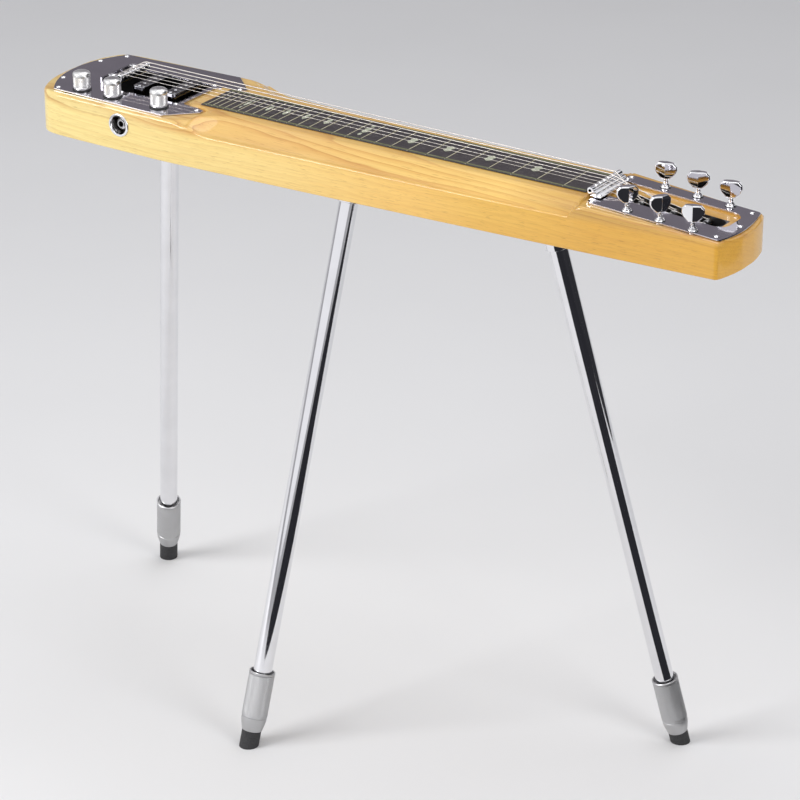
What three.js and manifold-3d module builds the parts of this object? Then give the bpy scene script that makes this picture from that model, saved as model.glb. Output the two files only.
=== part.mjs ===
// Six-string lap steel guitar standing on three telescopic legs.
// X runs along the strings from the tail to the head, -Y is the side with the knobs and the jack, +Z is up.
// Inside the guitar group X is measured from the bridge line, Y from the centreline and Z from the
// top of the fretboard. The whole guitar is then centred over the floor.
import * as THREE from "three";
import { mergeVertices } from "three/addons/utils/BufferGeometryUtils.js";
import Module from "manifold-3d";

const wasm = await Module();
wasm.setup();

// Driving dimensions, in millimetres
const scaleLength = 571.5; // bridge line to nut
const playingHeight = 650; // floor to the top of the fretboard
const bodyDepth = 51.2; // top of the fretboard down to the underside of the body
const bodyWidth = 153; // at the shoulders, its widest place
const tailWidth = 146; // between the long sides at the tip of the tail
const headWidth = 93; // between the long sides at the tip of the head
const tailReach = 86; // bridge line to the tip of the tail
const headReach = 158; // nut to the tip of the head
const stringCount = 6;
const seat = 0.3; // clearance between pieces that touch
const running = 0.25; // radial clearance of a shaft that turns or slides
const overrun = 4; // how far a cutting shape runs past what it cuts
const roundSides = 16;
const smallSides = 10;
const shaftSides = 8;
const nutSides = 6;

// Colours and finishes
const paint = (color, roughness, metalness) =>
  new THREE.MeshStandardMaterial({ color, roughness, metalness });
const honeyWood = paint(0xd9a441, 0.3, 0);
const darkBoard = paint(0x2a2224, 0.4, 0);
const mirrorPlate = paint(0x6f6a7d, 0.05, 1);
const chrome = paint(0xdadada, 0.08, 1);
const satinMetal = paint(0xb9bbbc, 0.45, 1);
const steel = paint(0xa8a8a8, 0.3, 1);
const nickelString = paint(0xc6c1bb, 0.3, 1);
const blackPlastic = paint(0x161616, 0.35, 0);
const blackRubber = paint(0x0c0c0c, 0.8, 0);
const brass = paint(0xb08d4f, 0.4, 1);

// A geometry's closed surface as a solid that can be joined and cut.
function solid(geometry) {
  const bare = new THREE.BufferGeometry().setAttribute("position", geometry.getAttribute("position"));
  if (geometry.index) bare.setIndex(geometry.index);
  const merged = mergeVertices(bare.index ? bare.toNonIndexed() : bare, 1e-4);
  return new wasm.Manifold(
    new wasm.Mesh({
      numProp: 3,
      vertProperties: merged.getAttribute("position").array,
      triVerts: new Uint32Array(merged.index.array),
    }),
  );
}

function geometryOf(made) {
  const { vertProperties, triVerts } = made.getMesh();
  const geometry = new THREE.BufferGeometry();
  geometry.setAttribute("position", new THREE.BufferAttribute(new Float32Array(vertProperties), 3));
  geometry.setIndex(new THREE.BufferAttribute(new Uint32Array(triVerts), 1));
  geometry.computeVertexNormals();
  return geometry;
}

const joined = (first, ...others) =>
  geometryOf(others.reduce((sum, g) => sum.add(solid(g)), solid(first)));
const cut = (first, ...tools) =>
  geometryOf(tools.reduce((left, g) => left.subtract(solid(g)), solid(first)));

function piece(parent, name, geometry, material) {
  const mesh = new THREE.Mesh(geometry, material);
  mesh.name = name;
  parent.add(mesh);
  return mesh;
}

// Primitives with their place given
const halfway = (a, b) => (a + b) / 2;
const box = (x0, x1, y0, y1, z0, z1) =>
  new THREE.BoxGeometry(x1 - x0, y1 - y0, z1 - z0).translate(
    halfway(x0, x1),
    halfway(y0, y1),
    halfway(z0, z1),
  );
const crosswise = (radius, y0, y1, sides = roundSides) =>
  new THREE.CylinderGeometry(radius, radius, y1 - y0, sides).translate(0, halfway(y0, y1), 0);
const upright = (radius, z0, z1, sides = roundSides) =>
  crosswise(radius, z0, z1, sides).rotateX(Math.PI / 2);
const slab = (shape, z0, z1) =>
  new THREE.ExtrudeGeometry(shape, {
    depth: z1 - z0,
    bevelEnabled: false,
    curveSegments: smallSides,
  }).translate(0, 0, z0);

// Profile points [radius, height] turned about Z. They run from the axis back to the axis, upwards.
const turned = (points, sides = roundSides) =>
  new THREE.LatheGeometry(points.map(([r, z]) => new THREE.Vector2(r, z)), sides).rotateX(Math.PI / 2);

// A closed ring-shaped profile turned about Z, going up its outside and down its bore.
const turnedRing = (points, sides = roundSides) => turned([...points, points[0]], sides);

const smooth = (value, from, to) => THREE.MathUtils.smoothstep(value, from, to);
const lerp = THREE.MathUtils.lerp;

// Layout along the strings
const tailX = -tailReach;
const nutX = scaleLength;
const headX = scaleLength + headReach;
const plateThickness = 1.5;
const controlPlateTop = -3.2;
const controlBed = controlPlateTop - plateThickness - seat;
const headPlateTop = -2.7; // at the nut, before the head slopes away
const headSlopeShare = 0.06;
const headTopAt = (x) => headPlateTop - headSlopeShare * (x - nutX);
const headBedAt = (x) => headTopAt(x) - plateThickness - seat;

// Wooden body: one long board, widest at its shoulders and tapering to the head in a slight bow.
const body = {
  shoulderX: 90,
  straightShare: 0.72,
  tailRadius: 145,
  headRadius: 136,
  tailCornerShare: 8,
  headCornerShare: 22,
  edgeRound: 3.8,
  underRound: 2,
  scoopEdgeRound: 2,
  boardSeat: 1.5, // top of the board down to the raised wood
  plateauHalf: 35.5,
  blockHalf: 29,
  blockStart: 93,
  blockWiden: 107,
  rampStart: 117.8,
  rampEnd: 124,
  blockStep: 0.8,
  plateauGap: 1.5, // end of the raised wood to the nut
  headStep: 1.4,
  scoopStart: 95,
  scoopFull: 128,
  scoopGap: 11.5, // end of the full scoop to the nut
  scoopRunOut: 15,
  scoopDropTail: 14.2,
  scoopDropHead: 17,
  scoopInnerStart: 88,
  scoopInnerEnd: 134,
};
body.plateauEnd = nutX - body.plateauGap;
body.scoopEnd = nutX - body.scoopGap;

// Half the width between the long sides at x, without the round ends.
function sideAt(x) {
  if (x < body.shoulderX)
    return lerp(tailWidth, bodyWidth, (x - tailX) / (body.shoulderX - tailX)) / 2;
  const share = (x - body.shoulderX) / (headX - body.shoulderX);
  const bowed = body.straightShare * share + (1 - body.straightShare) * share * share;
  return lerp(bodyWidth, headWidth, bowed) / 2;
}

// Half the body's width at x: the sides, limited by the round tail and head with soft corners.
function bodyHalf(x) {
  const arc = (radius, depth) =>
    depth >= radius ? radius : Math.sqrt(depth * (2 * radius - depth));
  const soft = (a, b, power) => (a ** -power + b ** -power) ** (-1 / power);
  const tailed = soft(sideAt(x), arc(body.tailRadius, x - tailX), body.tailCornerShare);
  return soft(tailed, arc(body.headRadius, headX - x), body.headCornerShare);
}

// How deep the scoops along both sides are at x, from 0 outside them to 1.
const scoopDepth = (x) =>
  smooth(x, body.scoopStart, body.scoopFull) *
  (1 - smooth(x, body.scoopEnd, body.scoopEnd + body.scoopRunOut));

// The flat level that the scoops start from, and the raised block that carries the fretboard.
function bedAt(x) {
  if (x < body.blockStart) return controlBed;
  if (x > body.plateauEnd + body.headStep) return headBedAt(x);
  if (x > body.plateauEnd)
    return lerp(-body.boardSeat, headBedAt(x), (x - body.plateauEnd) / body.headStep);
  return lerp(controlBed, -body.boardSeat, smooth(x, body.rampStart, body.rampEnd));
}
const blockAt = (x) =>
  x > body.blockStart + body.blockStep && x < body.plateauEnd ? -body.boardSeat : bedAt(x);

// One column of the body's section: shares of the way in from the side, and their heights.
const roundShares = [0, 0.3, 1];
const scoopShares = [0.22, 0.42, 0.62, 0.82];
function sectionAt(x, depthAt) {
  const half = bodyHalf(x);
  const depth = scoopDepth(x);
  const round = lerp(body.edgeRound, body.scoopEdgeRound, depth);
  const along = smooth(x, body.scoopStart, body.scoopEnd);
  const drop = lerp(body.scoopDropTail, body.scoopDropHead, along);
  const low = lerp(bedAt(x), -drop, depth);
  const inner = lerp(
    body.plateauHalf,
    Math.max(half - round, body.plateauHalf),
    1 - smooth(x, body.scoopInnerStart, body.scoopInnerEnd),
  );
  const blockHalf = lerp(
    body.blockHalf,
    body.plateauHalf - body.blockStep,
    smooth(x, body.blockWiden, body.rampEnd),
  );
  const narrow = Math.min(1, half / body.plateauHalf);
  const outer = roundShares.map((share) => half - round * share * narrow);
  const start = outer[2];
  const end = Math.min(inner, start - body.blockStep * narrow);
  const columns = [...outer, ...scoopShares.map((s) => lerp(start, end, s)), end];
  const foot = Math.min(blockHalf + body.blockStep, end - (body.blockStep * narrow) / 2);
  columns.push(foot, Math.min(blockHalf, foot - (body.blockStep * narrow) / 2));
  return columns.map((y, i) => {
    const share = THREE.MathUtils.clamp((start - y) / (start - end), 0, 1);
    const rise = share * share * (3 - 2 * share);
    const level = i === columns.length - 1 ? blockAt(x) : lerp(low, bedAt(x), rise);
    return [y, level - depthAt(x, y, round)];
  });
}

// How far the rounded edge has come down at a point, from its distance to the outline.
function edgeDrop(x, y, round) {
  const reach = round * 2;
  let nearest = bodyHalf(x) - y;
  for (let dx = -reach; dx <= reach; dx += reach / roundSides) {
    const other = x + dx;
    if (other <= tailX || other >= headX) continue;
    nearest = Math.min(nearest, Math.hypot(dx, Math.max(0, bodyHalf(other) - y)));
  }
  nearest = Math.min(nearest, x - tailX, headX - x);
  const inside = Math.max(0, round - nearest);
  return round - Math.sqrt(round * round - inside * inside);
}

// Stations are close together where the outline turns: shares of the tail's reach and of the edge's radius.
const tailStepShares = [0.004, 0.018, 0.045, 0.085, 0.13, 0.18, 0.24, 0.33, 0.5];
const headStepShares = [3.4, 2.3, 1.7, 1.15, 0.7, 0.32, 0.09];
function bodyStations() {
  const along = (from, to, count) =>
    Array.from({ length: count }, (_, i) => lerp(from, to, (i + 1 / 2) / count));
  return [
    ...tailStepShares.map((share) => tailX + share * tailReach),
    ...along(0, body.scoopInnerStart, 1),
    body.scoopInnerStart,
    body.blockStart,
    body.blockStart + body.blockStep,
    body.blockStart + 2 * body.blockStep,
    ...along(body.scoopStart + body.blockStep, body.rampStart, 4),
    body.rampStart,
    body.rampStart + body.blockStep,
    ...along(body.rampStart + body.blockStep, body.scoopInnerEnd, 2),
    ...along(body.scoopInnerEnd, body.scoopEnd, 4),
    body.scoopEnd - body.blockStep,
    ...along(body.scoopEnd, body.plateauEnd, 3),
    body.plateauEnd,
    body.plateauEnd + body.headStep,
    ...along(body.plateauEnd + body.headStep, body.scoopEnd + body.scoopRunOut, 1),
    body.scoopEnd + body.scoopRunOut,
    ...along(body.scoopEnd + body.scoopRunOut, headX - headStepShares[0] * body.edgeRound, 2),
    ...headStepShares.map((share) => headX - share * body.edgeRound),
  ];
}

// Joins equal rings of points into one closed surface with flat caps at both ends.
function lofted(rings) {
  const count = rings[0].length;
  const points = rings.flat(2);
  const faces = [];
  rings.slice(1).forEach((_, k) => {
    for (let i = 0; i < count; i++) {
      const a = k * count + i;
      const b = k * count + ((i + 1) % count);
      faces.push(a, b, b + count, a, b + count, a + count);
    }
  });
  const last = (rings.length - 1) * count;
  for (let i = 1; i < count - 1; i++) {
    faces.push(0, i + 1, i);
    faces.push(last, last + i, last + i + 1);
  }
  const geometry = new THREE.BufferGeometry();
  geometry.setAttribute("position", new THREE.Float32BufferAttribute(points, 3));
  geometry.setIndex(faces);
  return geometry;
}

function bodyBlank() {
  const rings = bodyStations().map((x) => {
    const top = sectionAt(x, edgeDrop);
    const half = bodyHalf(x);
    const narrow = Math.min(1, half / body.plateauHalf);
    const round = body.underRound;
    const under = roundShares.map((share) => half - round * share * narrow);
    const bottom = under.map((y) => [y, -bodyDepth + edgeDrop(x, y, round)]);
    const far = [...bottom.reverse(), ...top];
    const near = [...far].reverse().map(([y, z]) => [-y, z]);
    return [...far, ...near].map(([y, z]) => [x, y, z]);
  });
  return solid(lofted(rings));
}

// Control plate: mirror-polished sheet over the tail, with a bay for the pickups and a tab on each side.
const controlPlate = {
  tailInset: 8.2,
  cornerX: -56,
  cornerInset: 9.3,
  edgeInset: 6.7,
  stripEnd: 85.5,
  tabStart: 107,
  tabTip: 117,
  tabTipHalf: 39,
  tabRound: 3,
  shoulderX: 88,
  bayStart: -12,
  bayEnd: 79,
  bayHalf: 32,
  blockGap: 1,
};

function controlPlateShape() {
  const c = controlPlate;
  const cornerHalf = sideAt(c.cornerX) - c.cornerInset;
  const half = sideAt(c.shoulderX) - c.edgeInset;
  const left = tailX + c.tailInset;
  const inner = body.blockHalf + c.blockGap;
  const shape = new THREE.Shape();
  shape.moveTo(c.cornerX, -cornerHalf);
  shape.lineTo(c.shoulderX, -half);
  shape.lineTo(c.tabTip, -c.tabTipHalf - c.tabRound);
  shape.lineTo(c.tabTip, -c.tabTipHalf + c.tabRound);
  shape.lineTo(c.tabStart, -inner - c.blockGap * 2);
  shape.lineTo(c.stripEnd + c.tabRound, -inner);
  shape.lineTo(c.stripEnd, -inner + c.tabRound);
  shape.lineTo(c.stripEnd, inner - c.tabRound);
  shape.lineTo(c.stripEnd + c.tabRound, inner);
  shape.lineTo(c.tabStart, inner + c.blockGap * 2);
  shape.lineTo(c.tabTip, c.tabTipHalf - c.tabRound);
  shape.lineTo(c.tabTip, c.tabTipHalf + c.tabRound);
  shape.lineTo(c.shoulderX, half);
  shape.lineTo(c.cornerX, cornerHalf);
  // The round edge at the tail runs from corner to corner on one arc.
  const depth = c.cornerX - left;
  const radius = (cornerHalf * cornerHalf + depth * depth) / (2 * depth);
  const turn = Math.asin(cornerHalf / radius);
  for (let i = 1; i < roundSides; i++) {
    const angle = lerp(turn, -turn, i / roundSides);
    shape.lineTo(left + radius * (1 - Math.cos(angle)), radius * Math.sin(angle));
  }
  return shape;
}

// Knobs and the potentiometers under them: each shaft's place along the strings, and in from the long side.
const knobSpots = [
  { x: -28.3, inset: 22.4 },
  { x: 12.2, inset: 22.8 },
  { x: 71.5, inset: 24.9 },
];
const knobPlaces = knobSpots.map((spot) => [spot.x, spot.inset - sideAt(spot.x)]);
const knob = {
  radius: 9.5,
  height: 20.8,
  lift: 1.2,
  dome: 3.2,
  shoulderShare: 0.9,
  shoulderDropShare: 0.35,
  crownShare: 0.62,
  recessRadius: 7.6,
  recessDepth: 4,
  shaftDepth: 15,
};
const pot = {
  shaftRadius: 3,
  bushRadius: 4.6,
  bushRise: 3.2,
  canRadius: 8.2,
  canHeight: 9,
  capThickness: 1.2,
};

function controlPlateGeometry() {
  const c = controlPlate;
  const bottom = controlPlateTop - plateThickness;
  const [low, high] = [bottom - overrun, controlPlateTop + overrun];
  const holes = knobPlaces.map(([x, y]) =>
    upright(pot.bushRadius + seat, low, high, smallSides).translate(x, y, 0),
  );
  const bay = box(c.bayStart, c.bayEnd, -c.bayHalf, c.bayHalf, low, high);
  return cut(slab(controlPlateShape(), bottom, controlPlateTop), bay, ...holes);
}

// A knob screwed to the shaft of its potentiometer, whose bush passes through the plate.
function knobPieces(parent, x, y, label) {
  const k = knob;
  const at = new THREE.Group();
  at.position.set(x, y, controlPlateTop);
  parent.add(at);
  const low = k.lift;
  const shaftTop = low + k.shaftDepth;
  const cap = turned([
    [0, shaftTop],
    [pot.shaftRadius + seat, shaftTop],
    [pot.shaftRadius + seat, low + k.recessDepth],
    [k.recessRadius, low + k.recessDepth],
    [k.recessRadius, low],
    [k.radius, low],
    [k.radius, k.height - k.dome],
    [k.radius * k.shoulderShare, k.height - k.dome * k.shoulderDropShare],
    [k.radius * k.crownShare, k.height],
    [0, k.height],
  ]);
  piece(at, "knob" + label, cap, satinMetal);
  const under = -plateThickness - seat;
  const can = under - pot.canHeight;
  const capTop = can + pot.capThickness;
  const potentiometer = turnedRing([
    [pot.bushRadius, capTop],
    [pot.bushRadius, can],
    [pot.canRadius, can],
    [pot.canRadius, under],
    [pot.bushRadius, under],
    [pot.bushRadius, pot.bushRise],
    [pot.shaftRadius + running, pot.bushRise],
    [pot.shaftRadius + running, capTop],
  ]);
  piece(at, "potentiometer" + label, potentiometer, steel);
  const shaft = upright(pot.shaftRadius, capTop, shaftTop - seat, smallSides);
  piece(at, "pot_shaft" + label, shaft, brass);
}

// Jack: a dished cup let into the side that faces the audience, with the socket at its bottom.
const jack = {
  x: 37.2,
  z: -22.5,
  flangeRadius: 12.5,
  flangeThickness: 1.6,
  cupRadius: 10.6,
  mouthRadius: 10,
  floorRadius: 7.5,
  cupDepth: 9,
  floorThickness: 1.5,
  bushRadius: 4.6,
  nutRadius: 6.2,
  nutHeight: 2.2,
  bore: 3.3,
  frameHalf: 7,
  frameLength: 22,
};
const jackFace = -sideAt(jack.x);

function jackCupGeometry() {
  const j = jack;
  const outerFace = -j.flangeThickness - seat;
  const floorIn = j.cupDepth - j.floorThickness;
  const profile = [
    [j.mouthRadius, outerFace],
    [j.flangeRadius, outerFace + j.flangeThickness / 2],
    [j.flangeRadius, -seat],
    [j.cupRadius, -seat],
    [j.cupRadius, j.cupDepth],
    [j.bushRadius + seat, j.cupDepth],
    [j.bushRadius + seat, floorIn],
    [j.floorRadius, floorIn],
  ];
  return turnedRing(profile).rotateX(-Math.PI / 2).translate(j.x, jackFace, j.z);
}

function jackSocketGeometry() {
  const j = jack;
  const floorIn = j.cupDepth - j.floorThickness;
  const tip = floorIn - j.nutHeight - seat - plateThickness;
  const nut = crosswise(j.nutRadius, floorIn - seat - j.nutHeight, floorIn - seat, nutSides);
  const bush = crosswise(j.bushRadius, tip, j.cupDepth + overrun);
  const back = j.cupDepth + seat;
  const frame = box(-j.frameHalf, j.frameHalf, back, back + j.frameLength, -j.frameHalf, j.frameHalf);
  const bore = crosswise(j.bore, tip - overrun, back + j.frameLength + overrun);
  return cut(joined(bush, nut, frame), bore).translate(j.x, jackFace, j.z);
}

// Cavities milled into the body: the control well, the pickup well and the jack's bore.
const well = {
  start: -42,
  end: 88,
  wall: 7.9,
  reach: 37.4, // from the side at the jack to the far edge of the well
  depth: 37,
  pickupDepth: 20,
  pickupStart: -8,
  pickupEnd: 77,
  wireWidth: 12,
};
well.outerHalf = sideAt(well.start) - well.wall;
well.innerHalf = sideAt(jack.x) - well.reach;

function controlCavities() {
  const w = well;
  const top = controlBed + overrun * 2;
  const bayHalf = controlPlate.bayHalf - seat;
  const wireY = -halfway(w.outerHalf, w.innerHalf);
  const cans = knobPlaces.map(([x, y]) =>
    upright(pot.canRadius + running, -w.depth, top, smallSides).translate(x, y, 0),
  );
  return [
    ...cans,
    box(w.start, w.end, -w.outerHalf, -w.innerHalf, -w.depth, top),
    box(w.pickupStart, w.pickupEnd, -bayHalf, bayHalf, -w.pickupDepth, top),
    box(w.pickupEnd - w.wireWidth, w.pickupEnd, wireY, 0, -w.pickupDepth, top),
    crosswise(jack.cupRadius + seat, jackFace - overrun, -w.innerHalf).translate(jack.x, 0, jack.z),
  ];
}

// Tuning machines: three on each side, each an upright worm that turns a gear on a string roller.
const tuner = {
  count: 3,
  firstGap: 46,
  pitch: 35.7,
  edgeInset: 8.7,
  wormPitch: 2.6,
  wormRadius: 2.7,
  threadDepth: 0.55,
  wormTurns: 3,
  teeth: 12,
  gearThickness: 2,
  toothDepth: 1.5,
  tipClearance: 0.4,
  shaftRadius: 2.3,
  bushRadius: 4,
  bushRise: 3.2,
  rollerRadius: 3,
  rollerDrop: 8,
  rollerInner: 1.8,
  plateOffset: 4.7,
  plateWall: 1.1,
  earOffset: 5,
  earHeight: 2.5,
  earHalf: 4.6,
  cheekHalf: 7,
  neckRadius: 2.6,
  neckTop: 9.5,
  buttonWidth: 22.5,
  buttonHeight: 16.5,
  buttonThickness: 8.5,
  buttonBevel: 1.4,
};
tuner.xs = Array.from({ length: tuner.count }, (_, i) => nutX + tuner.firstGap + i * tuner.pitch);
tuner.half = headWidth / 2 - tuner.edgeInset;
const gearPitchRadius = (tuner.teeth * tuner.wormPitch) / (2 * Math.PI);
const gearOffset = gearPitchRadius + tuner.wormRadius;
// How far each button has been left turned about its shaft, in degrees.
const buttonTurns = { front: [48, 55, 20], back: [12, 20, 14] };

const slot = { half: 10, startGap: 17.5, length: 114, depth: 33, round: 9.5 };
slot.start = nutX + slot.startGap;
slot.end = slot.start + slot.length;
const gearWell = { innerOffset: 5, outerOffset: 5.6, forward: 7, backward: 17, depth: 25 };
gearWell.inner = tuner.half - gearWell.innerOffset;
gearWell.outer = tuner.half + gearWell.outerOffset;

function headCavities() {
  const top = -body.boardSeat + overrun;
  const floorAt = (x) => headBedAt(x) - gearWell.depth;
  const wells = tuner.xs.flatMap((x) =>
    [-1, 1].map((side) => {
      const [y0, y1] = side < 0 ? [-gearWell.outer, -gearWell.inner] : [gearWell.inner, gearWell.outer];
      return box(x - gearWell.backward, x + gearWell.forward, y0, y1, floorAt(x), top);
    }),
  );
  const reach = gearWell.inner + overrun;
  const bores = tuner.xs.map((x) =>
    crosswise(tuner.rollerRadius + 2 * running, -reach, reach, smallSides).translate(
      x - gearOffset,
      0,
      headTopAt(x) - tuner.rollerDrop,
    ),
  );
  const outline = roundedSlot(slot.start, slot.end, -slot.half, slot.half, slot.round);
  const middle = slab(outline, -slot.depth, top);
  return [middle, ...wells, ...bores];
}

// A long hole with its two corners towards the head rounded.
function roundedSlot(x0, x1, y0, y1, round) {
  const shape = new THREE.Shape();
  shape.moveTo(x0, y0);
  shape.lineTo(x1 - round, y0);
  shape.absarc(x1 - round, y0 + round, round, -Math.PI / 2, 0, false);
  shape.absarc(x1 - round, y1 - round, round, 0, Math.PI / 2, false);
  shape.lineTo(x0, y1);
  return shape;
}

// Tuner plate: mirror-polished sheet over the head, open in the middle for the rollers.
const headPlate = {
  startGap: 3.8,
  startInset: 3.1,
  endInset: 3.9,
  tipInset: 3.3,
  cornerCut: 4,
  tipCut: 1.5,
  openGap: 12,
  openTipInset: 18.5,
  openNear: -16,
  openFar: 26.2,
  openRound: 12,
  ledgeDrop: 1.2,
  ledgeStep: 2,
};
headPlate.start = nutX + headPlate.startGap;
headPlate.open = nutX + headPlate.openGap;
headPlate.openEnd = headX - headPlate.openTipInset;

// The sheet's half is a little narrower than the head's tip, and its end follows the wood's arc.
function headPlateGeometry() {
  const h = headPlate;
  const end = headX - h.tipInset;
  const startHalf = headWidth / 2 - h.startInset;
  const endHalf = headWidth / 2 - h.endInset;
  const arcAt = (y) => end - (y * y) / (2 * body.headRadius);
  const shape = new THREE.Shape();
  shape.moveTo(h.start, -startHalf + h.cornerCut);
  shape.lineTo(h.start + h.cornerCut, -startHalf);
  shape.lineTo(arcAt(endHalf) - h.tipCut, -endHalf);
  for (let i = 0; i <= smallSides; i++) {
    const y = lerp(h.tipCut - endHalf, endHalf - h.tipCut, i / smallSides);
    shape.lineTo(arcAt(y), y);
  }
  shape.lineTo(arcAt(endHalf) - h.tipCut, endHalf);
  shape.lineTo(h.start + h.cornerCut, startHalf);
  shape.lineTo(h.start, startHalf - h.cornerCut);
  const sheet = slab(shape, -plateThickness, 0);
  const outline = roundedSlot(h.open, h.openEnd, h.openNear, h.openFar, h.openRound);
  const open = slab(outline, -overrun, overrun);
  const hole = () => upright(tuner.bushRadius + seat, -overrun, overrun, smallSides);
  const holes = tuner.xs.flatMap((x) =>
    [-1, 1].map((side) => hole().translate(x, side * tuner.half, 0)),
  );
  return sloped(cut(sheet, open, ...holes));
}

// Lets a flat sheet drawn at height zero follow the slope of the head.
function sloped(geometry) {
  const place = geometry.getAttribute("position");
  for (let i = 0; i < place.count; i++) place.setZ(i, place.getZ(i) + headTopAt(place.getX(i)));
  return geometry;
}

// A worm: one smooth thread round a core, from z0 to z1, with a groove at the gear's side at mid height.
const ringsPerTurn = 4;
function wormGeometry(z0, z1) {
  const middle = halfway(z0, z1);
  const rows = Math.round(((z1 - z0) / tuner.wormPitch) * ringsPerTurn);
  const rings = Array.from({ length: rows + 1 }, (_, k) => {
    const z = lerp(z0, z1, k / rows);
    return Array.from({ length: shaftSides }, (_, i) => {
      const angle = (i / shaftSides) * 2 * Math.PI;
      const phase = ((z - middle) / tuner.wormPitch) * 2 * Math.PI - angle - Math.PI / 2;
      const r = tuner.wormRadius - tuner.threadDepth * Math.cos(phase);
      return [z, r * Math.cos(angle), r * Math.sin(angle)];
    });
  });
  // The loft runs along X, so it is turned to stand along Z.
  return lofted(rings).rotateY(-Math.PI / 2).rotateZ(Math.PI);
}

// A toothed gear about the Y axis with a tooth pointing along +X.
const rootShare = 0.22;
const tipShare = 0.06;
function gearGeometry(y0, y1) {
  const tip = gearOffset - tuner.wormRadius + tuner.threadDepth - tuner.tipClearance;
  const root = tip - tuner.toothDepth;
  const tooth = [
    { share: -rootShare, r: root },
    { share: -tipShare, r: tip },
    { share: tipShare, r: tip },
    { share: rootShare, r: root },
  ];
  const points = Array.from({ length: tuner.teeth }, (_, i) =>
    tooth.map(({ share, r }) => {
      const angle = ((i + share) * 2 * Math.PI) / tuner.teeth;
      return new THREE.Vector2(r * Math.cos(angle), r * Math.sin(angle));
    }),
  );
  return slab(new THREE.Shape(points.flat()), -y1, -y0).rotateX(Math.PI / 2);
}

// The button's outline, in shares of its half width and its height.
const buttonShares = [
  [-0.3, 0],
  [0.3, 0],
  [0.92, 0.42],
  [1, 0.62],
  [0.82, 0.88],
  [0.45, 1],
  [-0.45, 1],
  [-0.82, 0.88],
  [-1, 0.62],
  [-0.92, 0.42],
];

function tunerPieces(parent, side, index) {
  const t = tuner;
  const label = (side < 0 ? "front_" : "back_") + (index + 1);
  const x = t.xs[index];
  const top = headTopAt(x);
  const place = new THREE.Group();
  place.position.set(x, 0, top);
  parent.add(place);
  const mirrored = (y0, y1) => (side < 0 ? [-y1, -y0] : [y0, y1]);
  const axisZ = -t.rollerDrop;
  const wormHalf = (t.wormTurns * t.wormPitch) / 2;
  const earTop = axisZ + wormHalf + seat;
  const earLow = axisZ - wormHalf - seat;
  const under = -plateThickness - seat * 2;

  // Housing: a side plate against the wood, two ears that hold the shaft and a bush through the plate.
  const inner = t.half - t.plateOffset;
  const bottom = earLow - t.earHeight;
  const [plate0, plate1] = mirrored(inner, inner + t.plateWall);
  const [ear0, ear1] = mirrored(inner, t.half + t.earOffset);
  const side0 = box(-gearOffset - t.cheekHalf, t.earHalf, plate0, plate1, bottom, under);
  const upperEar = box(-t.earHalf, t.earHalf, ear0, ear1, earTop, under);
  const lowerEar = box(-t.earHalf, t.earHalf, ear0, ear1, bottom, earLow);
  const bush = upright(t.bushRadius, under - seat, t.bushRise, smallSides);
  bush.translate(0, side * t.half, 0);
  const bore = t.shaftRadius + running;
  const shaftBore = upright(bore, bottom - overrun, t.bushRise + overrun, smallSides);
  const rollerBore = crosswise(
    t.rollerRadius + running,
    plate0 - overrun,
    plate1 + overrun,
    smallSides,
  );
  const housing = cut(
    joined(side0, upperEar, lowerEar, bush),
    shaftBore.translate(0, side * t.half, 0),
    rollerBore.translate(-gearOffset, 0, axisZ),
  );
  piece(place, "tuner_housing_" + label, housing, chrome);

  // Button, shaft and worm turn as one.
  const outline = new THREE.Shape();
  const wide = t.buttonWidth / 2 - t.buttonBevel;
  const high = t.buttonHeight - 2 * t.buttonBevel;
  outline.setFromPoints(buttonShares.map(([u, v]) => new THREE.Vector2(u * wide, v * high)));
  const grip = new THREE.ExtrudeGeometry(outline, {
    depth: t.buttonThickness - 2 * t.buttonBevel,
    bevelSize: t.buttonBevel,
    bevelThickness: t.buttonBevel,
    bevelSegments: 1,
  });
  grip.translate(0, 0, t.buttonBevel - t.buttonThickness / 2).rotateX(Math.PI / 2);
  const turn = (side < 0 ? buttonTurns.front : buttonTurns.back)[index];
  grip.translate(0, 0, t.neckTop + t.buttonBevel - seat).rotateZ(THREE.MathUtils.degToRad(turn));
  const neck = upright(t.neckRadius, t.bushRise + seat, t.neckTop + t.buttonBevel * 2, shaftSides);
  const shaft = upright(t.shaftRadius, bottom, t.bushRise + seat * 2, shaftSides);
  const worm = wormGeometry(axisZ - wormHalf, axisZ + wormHalf);
  const button = piece(place, "tuner_button_" + label, joined(grip, neck, shaft, worm), chrome);
  button.position.y = side * t.half;

  // Roller with its gear. The string winds on its inner end.
  const [gear0, gear1] = mirrored(t.half - t.gearThickness / 2, t.half + t.gearThickness / 2);
  const [roll0, roll1] = mirrored(t.rollerInner, t.half);
  const barrel = crosswise(t.rollerRadius, roll0, roll1, shaftSides);
  const roller = joined(gearGeometry(gear0, gear1), barrel);
  piece(place, "string_roller_" + label, roller, steel).position.set(-gearOffset, 0, axisZ);
}

// Body: the blank with every cavity cut into it.
function bodyGeometry() {
  const h = headPlate;
  const [near, far] = [h.openNear - seat, h.openFar + seat];
  const outline = roundedSlot(h.open - h.ledgeStep, h.openEnd + seat, near, far, h.openRound);
  const ledge = slab(outline, -h.ledgeDrop, overrun * 2);
  const ledgeCut = sloped(ledge.translate(0, 0, -plateThickness - seat));
  const tools = [...controlCavities(), ...headCavities(), ledgeCut];
  return geometryOf(tools.reduce((left, tool) => left.subtract(solid(tool)), bodyBlank()));
}

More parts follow.
